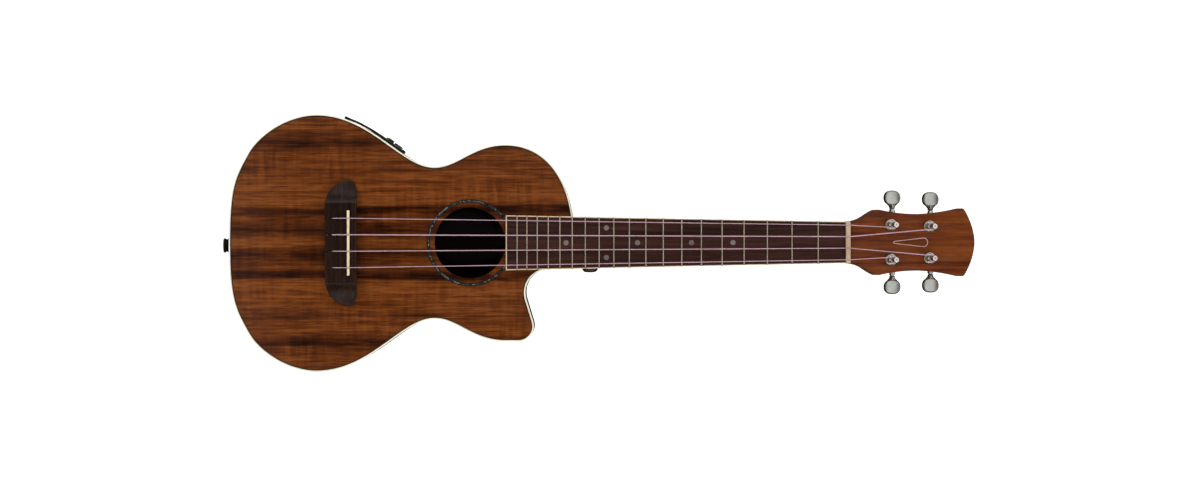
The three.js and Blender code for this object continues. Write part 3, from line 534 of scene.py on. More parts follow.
def bookmatched_koa(name, bands, tones, amber, painted_shade_above=None):
    """Two mirrored leaves of koa: bands by distance from the joint, streaks, pores and cross curl.

    Above a given height, the face that shows through the soundhole is mixed towards near black: painted
    shade of the dim hollow body.
    """
    p = Paint(name, **LACQUER)
    side = p.math("ABSOLUTE", p.y)
    leaf = p.vector(p.x, side, p.z)
    drift = p.noise((0.007, 0.02, 0.02), at=leaf, detail=1)
    across = p.total(side, (drift, 3.2))
    band = p.ramp(p.spread(across, 1.6, 121.6), bands)
    fade = p.noise((0.02, 0.09, 0.0), 0.34, 0.62, detail=3, shift=7.0)
    streak = p.noise((0.006, 0.24, 0.1), at=leaf, shift=3.0)
    line = p.noise((0.014, 0.9, 0.3), shift=11.0)
    fleck = p.noise((0.05, 0.5, 0.3), 0.32, 0.68, detail=4, shift=41.0)
    fibre = p.noise((0.07, 2.6, 0.8), 0.3, 0.7, shift=5.0)
    pore = p.noise((0.11, 1.5, 1.0), 0.6, 0.7, detail=2, shift=2.0)
    curl_place = p.noise((0.012, 0.018, 0.0), 0.45, 0.65, shift=19.0)
    curl = p.noise((0.2, 0.028, 0.0), 0.36, 0.64, detail=1, shift=23.0)
    waves = p.math("MULTIPLY", p.math("SUBTRACT", curl, 0.5), p.total(0.35, (curl_place, 0.9)))
    dark = p.math("MULTIPLY", band, p.total(0.52, (fade, 0.5)))
    figure = p.total(-0.34, (streak, 0.2), (line, 0.22), (fleck, 0.32), (fibre, 0.12), (waves, 0.2))
    tone = p.total(figure, (dark, 0.82))
    colour = p.ramp(tone, tones)
    glow = p.noise((0.02, 0.035, 0.02), 0.35, 0.7, shift=31.0)
    bare = p.total(1.0, (dark, -1.0))
    colour = p.mix(p.math("MULTIPLY", glow, p.math("MULTIPLY", bare, 0.3)), colour, amber)
    colour = p.mix(p.math("MULTIPLY", pore, 0.6), colour, rgb(38, 14, 4))
    # painted shade: the back's inner face, seen through the soundhole, turns near black
    if painted_shade_above:
        colour = p.mix(p.spread(p.z, painted_shade_above - 0.2, painted_shade_above), colour, rgb(22, 9, 5))
    relief = p.total(0.0, (pore, -0.6), (fibre, 0.25))
    return p.finish(colour, (p.total(0.0, (line, 0.5), (fibre, 0.5)), 0.16, 0.26), relief, 0.02)


def wood(name, tones, stretch, pores, rough, relief, lacquer, tilt=False):
    """Straight grain. stretch is the waves per millimetre each way of the middle-sized streaks."""
    p = Paint(name, **lacquer)
    if tilt:
        rise = p.math("MAXIMUM", p.math("SUBTRACT", p.x, (NUT_X + NUT_LENGTH) + TAIL), 0.0)
        p.at = p.vector(p.x, p.y, p.total(p.z, (rise, math.tan(HEAD_ANGLE))))
    scaled = [tuple(s * k for s in stretch) for k in (0.25, 1.0, 3.4, 8.0)]
    broad = p.noise(scaled[0], shift=4.0)
    streak = p.noise(scaled[1], shift=9.0)
    fibre = p.noise(scaled[2], 0.3, 0.7, shift=13.0)
    pore = p.noise(scaled[3], 0.6, 0.7, detail=1, shift=17.0)
    tone = p.total(0.0, (broad, 0.4), (streak, 0.38), (fibre, 0.26))
    colour = p.mix(p.math("MULTIPLY", pore, 0.6), p.ramp(tone, tones), pores)
    height = p.total(0.0, (pore, -0.7), (fibre, 0.3))
    return p.finish(colour, (fibre, *rough), height, relief)


def moulded(name, light, dark, rough, grain=1.6, relief=0.01, **sockets):
    """Plastic, bone or rubber: a faint mottle and a fine moulded skin."""
    p = Paint(name, **sockets)
    cloud = p.noise((0.05, 0.05, 0.05), shift=2.0)
    skin = p.noise((grain, grain, grain), 0.3, 0.7, detail=3, shift=6.0)
    colour = p.ramp(p.total(0.0, (cloud, 0.6), (skin, 0.4)), [(0.2, rgb(*light)), (0.8, rgb(*dark))])
    return p.finish(colour, (p.total(0.0, (skin, 0.6), (cloud, 0.4)), *rough), skin, relief)


def metal(name, light, dark, rough, brush=(0.3, 0.3, 0.3), relief=0.004, **sockets):
    """Plated or bare metal: smudges, fine brushing and a slightly uneven tone."""
    p = Paint(name, **{"Metallic": 1.0, **sockets})
    smudge = p.noise((0.12, 0.12, 0.12), 0.4, 0.65, detail=4, shift=3.0)
    hair = p.noise(tuple(b * 12 for b in brush), 0.3, 0.7, detail=2, shift=8.0)
    colour = p.ramp(p.total(0.0, (smudge, 0.6), (hair, 0.4)), [(0.2, rgb(*light)), (0.8, rgb(*dark))])
    return p.finish(colour, (p.total(0.0, (smudge, 0.7), (hair, 0.3)), *rough), hair, relief)


def abalone(name):
    """Shell: curved layers of blue-green, pink and silver that change from block to block."""
    p = Paint(name, Metallic=0.45, **LACQUER)
    cell = p.node("TexVoronoi", [("Vector", p.at), ("Scale", 0.36)], voronoi_dimensions="3D")
    tint = p.node("SeparateXYZ", [(0, cell.outputs["Color"])]).outputs[0]
    layer = p.noise((0.45, 0.45, 0.45), 0.3, 0.7, detail=4, shift=5.0)
    wave = p.node("TexWave", [("Vector", p.at), ("Scale", 0.3), ("Distortion", 9.0), ("Detail", 3.0)])
    tone = p.total(0.0, (tint, 0.5), (layer, 0.35), (wave.outputs["Fac"], 0.25))
    colour = p.ramp(tone, shades(
        (0.12, 18, 16, 17), (0.42, 36, 32, 32), (0.5, 104, 92, 84),
        (0.56, 34, 34, 37), (0.68, 46, 62, 66), (0.76, 196, 238, 238),
        (0.82, 126, 94, 94), (0.92, 28, 26, 32),
    ))
    return p.finish(colour, (layer, 0.16, 0.3), wave.outputs["Fac"], 0.01)


def level(*pairs):
    return [(position, (value,)) for position, value in pairs]


def shades(*stops):
    """Stops of a ramp from (position, red, green, blue)."""
    return [(position, rgb(*colour)) for position, *colour in stops]


TOP_BANDS = level(
    (0.0, 0.0), (0.018, 0.08), (0.04, 0.5), (0.085, 1.0), (0.112, 0.66), (0.15, 0.48), (0.2, 0.62),
    (0.222, 0.96), (0.255, 1.0), (0.278, 0.16), (0.34, 0.1), (0.42, 0.22), (0.525, 0.36),
    (0.54, 0.62), (0.555, 0.3), (0.64, 0.3), (0.69, 0.55), (0.735, 0.95), (0.775, 0.55), (0.85, 0.3),
    (0.95, 0.2),
)
BACK_BANDS = level(
    (0.0, 0.35), (0.05, 0.6), (0.1, 0.3), (0.2, 0.15), (0.3, 0.45), (0.36, 0.9), (0.4, 0.4),
    (0.55, 0.2), (0.65, 0.55), (0.72, 0.35), (0.85, 0.6), (0.95, 0.3),
)
KOA_SHADES = shades(
    (0.0, 124, 68, 28), (0.3, 92, 45, 14), (0.55, 66, 29, 7), (0.8, 42, 14, 3),
    (1.0, 26, 8, 2),
)
ROSEWOOD_SHADES = shades(
    (0.15, 74, 44, 38), (0.45, 59, 34, 29), (0.7, 45, 25, 21), (0.95, 30, 16, 13),
)
BRIDGE_SHADES = shades((0.15, 46, 27, 19), (0.5, 33, 18, 12), (0.9, 20, 10, 6))
MAHOGANY_SHADES = shades(
    (0.1, 122, 62, 26), (0.45, 100, 47, 18), (0.7, 80, 34, 12), (0.95, 54, 20, 8),
)
HEAD_SHADES = shades(
    (0.1, 122, 64, 24), (0.4, 108, 52, 17), (0.65, 96, 42, 12), (0.9, 66, 26, 7),
)
SPRUCE_SHADES = shades((0.1, 226, 196, 146), (0.5, 208, 174, 122), (0.9, 176, 136, 88))

KOA_TOP = bookmatched_koa("koa_top", TOP_BANDS, KOA_SHADES, rgb(118, 60, 24))
# The back's inner face, above PLATE - 0.2, gets painted shade.
KOA_BACK = bookmatched_koa("koa_back", BACK_BANDS, KOA_SHADES, rgb(118, 60, 24), PLATE - 0.2)
KOA_SIDE = wood("koa_side", KOA_SHADES, (0.008, 0.008, 0.3), rgb(38, 17, 8), (0.22, 0.34), 0.02, LACQUER)
MAHOGANY = wood("mahogany", MAHOGANY_SHADES, (0.012, 0.3, 0.3), rgb(40, 15, 6), (0.3, 0.42), 0.03, LACQUER,
                tilt=True)
HEAD_KOA = wood("head_koa", HEAD_SHADES, (0.014, 0.3, 0.0), rgb(40, 15, 6), (0.2, 0.3), 0.02, SATIN)
ROSEWOOD = wood("rosewood", ROSEWOOD_SHADES, (0.016, 0.42, 0.42), rgb(20, 11, 11), (0.26, 0.38), 0.05,
                SATIN)
BRIDGE_WOOD = wood("bridge_rosewood", BRIDGE_SHADES, (0.42, 0.016, 0.42), rgb(16, 9, 9), (0.18, 0.28), 0.05,
                   {"Specular_IOR_Level": 0.3})
SAWN = (0.6, 0.75)
SPRUCE = wood("spruce", SPRUCE_SHADES, (0.3, 0.012, 0.3), rgb(150, 110, 66), SAWN, 0.04, {})
SPRUCE_LONG = wood("spruce_along", SPRUCE_SHADES, (0.012, 0.3, 0.3), rgb(150, 110, 66), SAWN, 0.04, {})
# Painted shade: the back brace, seen through the soundhole, takes a near-black wood in place of its own
# spruce.
BRACE_PAINTED_SHADE = wood("brace_painted_shade", BRIDGE_SHADES, (0.012, 0.3, 0.3), rgb(20, 9, 4), SAWN, 0.04, SATIN)
BLOCK_WOOD = wood("block_wood", MAHOGANY_SHADES, (0.3, 0.3, 0.012), rgb(40, 15, 6), SAWN, 0.04, {})
CREAM = moulded("cream_plastic", (238, 233, 214), (226, 219, 196), (0.22, 0.34), **LACQUER)
WARM_CREAM = moulded("aged_cream", (222, 204, 172), (206, 186, 150), (0.26, 0.38))
PURFLING_BLACK = moulded("black_purfling", (26, 19, 16), (15, 11, 9), (0.25, 0.38))
BONE = moulded("bone", (194, 169, 142), (176, 150, 122), (0.32, 0.46), 0.8)
SADDLE_BONE = moulded("saddle_bone", (240, 222, 186), (224, 204, 166), (0.3, 0.44), 0.8)
NYLON = moulded("nylon", (190, 158, 168), (174, 142, 154), (0.16, 0.26), 2.0, **LACQUER)
BLACK = moulded("black_plastic", (30, 30, 32), (20, 20, 22), (0.34, 0.5), 2.4, 0.02)
GLASS_BLACK = moulded("display_window", (20, 24, 22), (12, 15, 14), (0.06, 0.12), 0.4)
WHITE_MARK = moulded("white_mark", (226, 226, 222), (210, 210, 206), (0.4, 0.5))
DOT_PEARL = moulded("dot_pearl", (128, 116, 112), (104, 92, 90), (0.18, 0.28), 0.7, **LACQUER)
SILVER_INLAY = moulded("silver_inlay", (206, 168, 160), (180, 138, 130), (0.25, 0.35), 0.6)
CHROME = metal("chrome", (226, 222, 212), (208, 202, 192), (0.05, 0.12))
BUTTON_CHROME = metal("button_chrome", (186, 186, 180), (171, 171, 166), (0.04, 0.1))
DARK_CHROME = metal("dark_chrome", (120, 112, 110), (88, 80, 78), (0.06, 0.16))
BLACK_METAL = moulded("black_metal", (20, 20, 21), (12, 12, 13), (0.1, 0.2), 1.0, 0.004, **LACQUER)
BLACK_CHROME = metal("black_chrome", (70, 70, 72), (46, 46, 48), (0.06, 0.16))
FRET_METAL = metal("fret_metal", (214, 198, 174), (190, 174, 150), (0.2, 0.32), (0.05, 0.6, 0.6),
                   Metallic=0.8)
BRASS = metal("brass", (206, 172, 100), (168, 132, 66), (0.2, 0.36))
SHELL = abalone("abalone")


# ---- the body ----
def ring_profile(low, high, outer=0.05, inner=BINDING, bend=0.8):
    """The binding's section: square to the purfling, rounded where the top meets the side."""
    corner = bezier(((outer, high - bend), (outer, high), (outer + bend, high)), 4)
    return [(outer, low), *corner, (inner, high), (inner, low)]


def upside_down(profile):
    return [(d, DEPTH - z) for d, z in reversed(profile)]


def box_profile(outer, inner, low, high):
    return [(outer, low), (outer, high), (inner, high), (inner, low)]


def rim_section(z0, z1, d0, d1, corner):
    """A rounded rectangle of (height, distance out of the rim)."""
    return rounded(box(z0, z1, d0, d1), corner, 3, True)


def on_rim(stations):
    """Sections carried along the bass side; each station is (u, section)."""
    rows = []
    for u, section in stations:
        point, outward = rim_at(u)
        spots = point + outward * section[:, 1:]
        rows.append(np.column_stack([spots, section[:, 0]]))
    return loft(rows)


def rim_plate(u0, u1, z0, z1, d0, d1, corner, edge=0.4):
    """A curved plate on the bass side, with rounded corners and edges."""
    ends = np.array([0, 0.06, 0.2, 0.42, 0.7, 1.0]) * max(corner, edge)
    middle = np.linspace(u0 + ends[-1], u1 - ends[-1], 24)[1:-1]
    stations = []
    for u in (*(u0 + ends), *middle, *(u1 - ends[::-1])):
        gap = min(u - u0, u1 - u)
        pull = corner - math.sqrt(max(corner**2 - max(corner - gap, 0) ** 2, 0))
        drop = edge - math.sqrt(max(edge**2 - max(edge - gap, 0) ** 2, 0))
        stations.append((u, rim_section(z0 + pull, z1 - pull, d0, d1 - drop, edge * 0.7)))
    return on_rim(stations)


def rim_frame(u, z):
    """Local axes on the bass side: X towards the tail, Y up, Z out of the rim."""
    point, out = rim_at(u)
    rows = ((-out[1], 0, out[0], point[0]), (out[0], 0, out[1], point[1]), (0, 1, 0, z), (0, 0, 0, 1))
    return Matrix(rows)


WHOLE = np.arange(len(OUTLINE))
TREBLE_SIDE = np.arange(len(TREBLE))
BASS_SIDE = np.append(np.arange(len(TREBLE) - 1, len(OUTLINE)), 0)
SIDE_LOW, SIDE_HIGH = BINDING_HEIGHT + PURFLING, DEPTH - BINDING_HEIGHT - PURFLING
PLATE_INSET = BINDING + PURFLING


def make_body():
    top_ring = ring_profile(DEPTH - BINDING_HEIGHT, DEPTH)
    for name, ring in (("binding_top", top_ring), ("binding_back", upside_down(top_ring))):
        make(name, [band(WHOLE, ring)], CREAM, slot="cream_plastic")
    strips = [
        box_profile(BINDING, PLATE_INSET, DEPTH - 4, DEPTH),
        box_profile(0.04, 0.8, SIDE_HIGH, SIDE_HIGH + PURFLING),
    ]
    for end, turn in (("top", list), ("back", upside_down)):
        rings = [band(WHOLE, turn(strip)) for strip in strips]
        make(f"purfling_{end}", rings, PURFLING_BLACK, slot="black_plastic")

    wall = box_profile(0.05, SIDE, SIDE_LOW, SIDE_HIGH)
    bore = lathe(box(0, 4.9, -6, 6), 32, "x", (0, JACK_Y, JACK_Z))
    window = rim_plate(PANEL[0] + 2.4, PANEL[1] - 1.5, 18, 48, -6, 3, 3)
    for name, part, cut in (("side_treble", TREBLE_SIDE, [bore]), ("side_bass", BASS_SIDE, [bore, window])):
        make(name, [band(part, wall, False)], KOA_SIDE, cuts=[cut], slot="koa_side")

    plate = inset(OUTLINE, PLATE_INSET + 0.02)
    hole = circle(SOUNDHOLE_X, 0, SOUNDHOLE_R, 120)
    inner, outer = ROSETTE
    groove = lathe(box(inner, outer, DEPTH - 0.9, DEPTH + 1), 120, centre=(SOUNDHOLE_X, 0, 0))
    top = slab(plate, DEPTH - PLATE, DEPTH, 0.12, [hole])
    make("soundboard", [top], KOA_TOP, cuts=[[groove]], slot="koa_top")
    back = slab(plate, 0, PLATE, 0.12)
    make("back_plate", [back], KOA_BACK, slot="koa_side")


def make_rosette():
    inner, outer = ROSETTE
    line = 0.9
    at = (SOUNDHOLE_X, 0, 0)

    def ring(r0, r1, low, high):
        return lathe(box(r0, r1, low, high), 120, centre=at)

    rings = [
        ring(inner + 0.02, outer - 0.02, DEPTH - 0.88, DEPTH - 0.5),
        ring(inner + 0.02, inner + line, DEPTH - 0.5, DEPTH),
        ring(outer - line, outer - 0.02, DEPTH - 0.5, DEPTH),
    ]
    make("rosette", rings, PURFLING_BLACK, slot="pearl")
    blocks, start = [], 0.0
    while start < math.tau - 0.03:
        length = min(rng.uniform(0.045, 0.085), math.tau - start - 0.004)
        a = np.linspace(start + 0.003, start + length - 0.003, 4)
        corners = []
        for r, t in ((outer - line - 0.04, a), (inner + line + 0.04, a[::-1])):
            corners.append(np.column_stack([SOUNDHOLE_X + r * np.cos(t), r * np.sin(t)]))
        height = DEPTH - rng.uniform(0.0, 0.04)
        blocks.append(slab(np.concatenate(corners), DEPTH - 0.5, height, 0.06, steps=2))
        start += length
    make("rosette_shell", blocks, SHELL, slot="pearl")


# ---- bridge and strings ----
def string_y(i, pitch):
    return (1.5 - i) * pitch


def across_bridge(v):
    """Back edge, front edge and top of the bridge at a distance v from the centreline."""
    back = ((BRIDGE_BACK, BRIDGE_BLOCK_HALF), (86.8, 45.1), (94.8, BRIDGE_HALF), (SADDLE_X, BRIDGE_HALF))
    back = bezier(back, 40)
    front = bezier(((BRIDGE_FRONT, 44), (111.1, 54), (108, BRIDGE_HALF)), 30)
    fall = bezier(((BRIDGE_BLOCK_HALF, BRIDGE_HEIGHT), (40.1, 3.4), (56, 2.4)), 30)
    height = BRIDGE_HEIGHT if v < BRIDGE_BLOCK_HALF else np.interp(v, fall[:, 0], fall[:, 1])
    return np.interp(v, back[:, 1], back[:, 0]), np.interp(v, front[:, 1], front[:, 0]), height


def make_bridge():
    wing = BRIDGE_HALF - (BRIDGE_HALF - BRIDGE_BLOCK_HALF) * np.linspace(0, 1, 34) ** 1.7
    half = [*np.linspace(0, BRIDGE_BLOCK_HALF - 0.01, 8), *wing[::-1]]
    sections = []
    for v in (*(-np.array(half[:0:-1])), *half):
        back, front, height = across_bridge(abs(v))
        near_tip = max(BRIDGE_HALF - abs(v), 0.0)
        height *= 1 - 0.3 * max(1 - near_tip / 0.8, 0) ** 2
        bend = min(0.9, (front - back) * 0.4, height * 0.4)
        ridge = rounded([(back, 0), (back, height), (front, height), (front, 0)], bend, 4)
        sections.append([(u, v, DEPTH + z) for u, z in ridge])
    slots, pockets = [], []
    for i, radius in enumerate(STRING_RADII):
        y, half_slot = string_y(i, PITCH_SADDLE), radius + 0.22
        sides = (y - half_slot, y + half_slot)
        slots.append(block(83, STRING_SLOT_END, *sides, DEPTH + 3.4, DEPTH + 12, 0.05))
        pockets.append(block(84.9, 89.8, y - 1.7, y + 1.7, DEPTH + 3.0, DEPTH + 6.4, 0.3))
    slots.append(block(SADDLE_X - 1.2, SADDLE_X + 1.2, -28.7, 28.7, DEPTH + 3.6, DEPTH + 12, 0.1))
    make("bridge", [loft(sections)], BRIDGE_WOOD, cuts=[slots, pockets], slot="rosewood", angle=28)
    crown = [(-1.1, 3.65), (-1.1, SADDLE_HEIGHT), (1.1, SADDLE_HEIGHT), (1.1, 3.65)]
    crown = rounded(crown, 0.9, 5)
    rows = []
    ends = [(27, 0), (27.7, 0.05), (28.2, 0.3), (28.5, 0.9)]
    for v, low in mirrored(ends):
        rows.append([(SADDLE_X + u, v, DEPTH + min(z, SADDLE_HEIGHT - low)) for u, z in crown])
    make("saddle", [loft(rows)], SADDLE_BONE, slot="bone")


HEAD = Matrix.Translation((NUT_X + NUT_LENGTH, 0, DEPTH + HEAD_FACE)) @ Matrix.Rotation(HEAD_ANGLE, 4, "Y")


def tuner_frame(place, side):
    s, y = TUNER_PLACES[place]
    return HEAD @ Matrix.Translation((s, side * y, 0)) @ Matrix.Diagonal((1, side, 1, 1))


def knot(x, y, z, radius):
    """The string's knot in its pocket: one and a half turns round itself."""
    a = np.linspace(0, math.tau * 1.6, 30)
    r = radius * 1.7
    start = x - radius * 2.0
    return [(start + t * radius * 0.35, y + r * math.cos(t), z + r * math.sin(t)) for t in a]


def make_strings():
    saddle_z, nut_z = 76.6, 73.0
    for i, (radius, (place, side)) in enumerate(zip(STRING_RADII, STRING_TUNERS)):
        ys, yn = string_y(i, PITCH_SADDLE), string_y(i, PITCH_NUT)
        slope = (yn - ys) / (NUT_X - SADDLE_X)
        anchor = rounded([
            (86.3, ys, 70.1), (89.4, ys, 70.4), (92.6, ys, 74.15 + radius),
            (103.85, ys, saddle_z + radius - 0.35), (SADDLE_X, ys, saddle_z + radius),
            (107.05, ys + slope, saddle_z + radius - 0.01),
        ], 1.2, 4)
        speaking = np.linspace(anchor[-1], (541.3, yn, nut_z + radius + 0.02), 9)[1:]
        frame_at = np.array(tuner_frame(place, side))
        turns = np.linspace(0, 2.6, 84)
        wrap, top = 2.02 + radius, 7.9 - radius
        angle = np.radians(-90 + 360 * turns)
        coil = np.column_stack([wrap * np.cos(angle), wrap * np.sin(angle), top - 2.1 * radius * turns])
        coil = coil @ frame_at[:3, :3].T + frame_at[:3, 3]
        nut_end = np.array([544.3, yn, nut_z + radius])
        beyond = nut_end + (coil[0] - nut_end) * np.linspace(0, 1, 5)[:-1, None]
        path = np.concatenate([anchor, speaking, beyond, coil])
        tie = tube(knot(86.9, ys, 70.2, radius), radius * 0.75, 8)
        make(f"string_{i + 1}", [tube(path, radius, 10), tie], NYLON, slot="nylon", angle=60)


# ---- neck ----
def board_half(u):
    share = (u - BOARD_START) / (NUT_X - BOARD_START)
    return BOARD_HALF_START + (BOARD_HALF_NUT - BOARD_HALF_START) * share


def fret_x(n):
    return NUT_X - SCALE_LENGTH * (1 - 2 ** (-n / 12))


def head_half(start):
    """The bass half of the head's outline, from a distance along it to its tip."""
    return np.concatenate([
        bezier(((start, BOARD_HALF_NUT), (12.4, BOARD_HALF_NUT), (12.4, 23.5), (23.4, 28.4)), 14),
        bezier(((23.4, 28.4), (25.2, 29.1), (26.8, 28.8), (28.6, 28.4)), 4)[1:],
        bezier(((28.6, 28.4), (49, 24), (73, 23.2), (102, 30)), 18)[1:],
        bezier(((102, 30), (104.5, 30.5), (105.5, 29), (106.6, 27.2)), 5)[1:],
        bezier(((106.6, 27.2), (112, 18), (HEAD_LENGTH, 8), (HEAD_LENGTH, 0)), 14)[1:],
    ])


def head_outline(start):
    half = head_half(start)
    return np.concatenate([half * [1, -1], half[-2::-1]])


def shaft():
    rows = [(297.2, 17), (363.2, 16.6), (430, 15.6), (500, 14.8), (532, 14.4), (548, 14.6)]
    stations, depths = zip(*rows)
    sections = []
    for u in np.linspace(stations[0], stations[-1], 26):
        depth, half = np.interp(u, stations, depths), board_half(min(u, 544.9)) - 0.1
        a = np.linspace(0, math.pi, 33)
        arch = [(u, half * math.cos(t), DEPTH - depth * math.sin(t) ** 0.8) for t in a]
        sections.append([(u, half, DEPTH + 3), *arch, (u, -half, DEPTH + 3)])
    return loft(sections)


def heel():
    rows = [(2.2, 19, 12.5), (14, 20.5, 13.6), (28, 23.5, 15.2), (38, 27, 16.6), (46, 33, 18),
            (52, 42, 19.4), (57, 54, 20.4)]
    heights = [row[0] for row in rows]
    a = np.linspace(-math.pi / 2, math.pi / 2, 29)
    sections = []
    for z in np.linspace(heights[0], heights[-1], 22):
        length, half = (np.interp(z, heights, [row[k] for row in rows]) for k in (1, 2))
        curve = [(BODY_END + length * math.cos(t) ** 0.85, half * math.sin(t), z) for t in a]
        sections.append([(299, -half, z), *curve, (299, half, z)])
    return loft(sections)


def in_head(part):
    return moved(part, HEAD)


def make_neck():
    rough_head = in_head(slab(inset(head_outline(-4), -0.6), -HEAD_THICKNESS, 3, 1.2, steps=4))
    neck = raw("neck", [shaft(), heel(), rough_head])
    blend = neck.modifiers.new("blend", "REMESH")
    blend.mode = "VOXEL"
    blend.voxel_size = 0.0009
    soft = neck.modifiers.new("soft", "SMOOTH")
    soft.factor = 0.5
    soft.iterations = 8
    bake(neck)
    carve(neck, [
        block(280, 544.9, -60, 60, DEPTH, 110, 0.01),
        block(280, 302.9, -60, 60, -9, DEPTH - 0.01, 0.01),
    ])
    carve(neck, [in_head(block(-1, 140, -60, 60, -VENEER - 0.02, 60, 0.01))])
    edge_line = head_half(-6)
    beside = np.concatenate([edge_line, [(140, 0), (140, 60), (-6, 60)]])
    for loop in (beside, beside[::-1] * [1, -1]):
        carve(neck, [in_head(slab(loop, -30, 10, 0.01, steps=1))])
    places = [(s, side * y) for s, y in TUNER_PLACES for side in (1, -1)]
    hole = lathe(box(0, 4.45, -20, 4), 32)
    carve(neck, [in_head(shifted(hole, *place)) for place in places])
    finish_piece(neck, MAHOGANY, slot="mahogany", angle=40)

    drilled = [circle(*place, 4.3, 32) for place in places]
    veneer = slab(head_outline(0.1), -VENEER, 0, 0.3, drilled)
    make("head_veneer", [in_head(veneer)], HEAD_KOA, slot="koa_top")
    drop = np.concatenate([
        arc(40.6, 0, 1.2, math.radians(97), math.radians(263), 10),
        arc(67.4, 0, 4.2, math.radians(-82), math.radians(82), 20),
    ])
    line = slab(drop, -0.3, 0.04, 0.03, [inset(drop, 0.62)], steps=1)
    make("head_inlay", [in_head(line)], SILVER_INLAY, slot="pearl")

    a = np.linspace(-math.pi / 2, math.pi / 2, 33)
    cap = [(BODY_END + 19 * max(math.cos(t), 0) ** 0.85, 12.5 * math.sin(t)) for t in a]
    make("heel_cap", [slab(cap, 0, PLATE, 0.5)], CREAM, slot="cream_plastic")


def make_board():
    edge, end = 0.95, NUT_X - 0.1

    def strip(u0, u1, from_edge, to_edge, side):
        corners = [(u0, board_half(u0) - to_edge), (u1, board_half(u1) - to_edge),
                   (u1, board_half(u1) - from_edge), (u0, board_half(u0) - from_edge)]
        loop = np.array(corners) * [1, side]
        return loop if side > 0 else loop[::-1]

    plank = np.array([
        (BOARD_START + edge, -board_half(BOARD_START) + edge), (end, -board_half(end) + edge),
        (end, board_half(end) - edge), (BOARD_START + edge, board_half(BOARD_START) - edge),
    ])
    make("fretboard", [slab(plank, DEPTH + 0.02, BOARD_TOP, 0.04)], ROSEWOOD, slot="rosewood")
    start_half = board_half(BOARD_START)
    strips = [strip(BOARD_START, end, 0, edge - 0.02, side) for side in (1, -1)]
    cream = [slab(one, DEPTH + 0.02, BOARD_TOP, 0.25) for one in strips]
    cream.append(block(BOARD_START, BOARD_START + edge - 0.02, -start_half + edge, start_half - edge,
                       DEPTH + 0.02, BOARD_TOP, 0.2))
    make("fretboard_binding", cream, WARM_CREAM, slot="cream_plastic")

    right = [(0.32, 0.72), (0.54, 0.42), (0.62, 0.1), (0.62, -0.3)]
    crown = [*mirrored(right)[:4], (0, 0.84), *right]
    for n in range(1, FRETS + 1):
        u = fret_x(n)
        half = board_half(u) - 0.15
        ends = [(half - 0.7, 1), (half - 0.25, 0.65), (half, 0.15)]
        rows = []
        for v, share in mirrored(ends):
            rows.append([(u + a, v, BOARD_TOP + (h * share if h > 0 else h)) for a, h in crown])
        make(f"fret_{n:02d}", [loft(rows)], FRET_METAL, slot="chrome", angle=50)

    dots, side_dots = [], []
    for n in DOT_FRETS:
        u = (fret_x(n) + fret_x(n - 1)) / 2
        for v in (13, -13) if n == 12 else (0,):
            dots.append(slab(circle(u, v, 2.3, 28), BOARD_TOP - 0.3, BOARD_TOP + 0.03, 0.04, steps=1))
        for shift in (-2.5, 2.5) if n == 12 else (0,):
            at = (u + shift, board_half(u + shift) - 0.4, DEPTH + 3.2)
            side_dots.append(lathe([(0, 0), (0.95, 0), (0.95, 0.42), (0.8, 0.46), (0, 0.46)], 18, "y", at))
    make("position_dots", dots, DOT_PEARL, slot="pearl")
    make("side_dots", side_dots, PURFLING_BLACK, slot="black_plastic")

    top = DEPTH + NUT_HEIGHT
    slots = []
    for i, radius in enumerate(STRING_RADII):
        y, half = string_y(i, PITCH_NUT), radius + 0.12
        ends = (NUT_X - 2, NUT_X + NUT_LENGTH + 2)
        slots.append(block(*ends, y - half, y + half, top - 0.58, top + 3, 0.02))
    nut = block(NUT_X, NUT_X + NUT_LENGTH - 0.08, -BOARD_HALF_NUT, BOARD_HALF_NUT, DEPTH + 0.02, top, 0.5)
    make("nut", [nut], BONE, cuts=[slots], slot="bone")


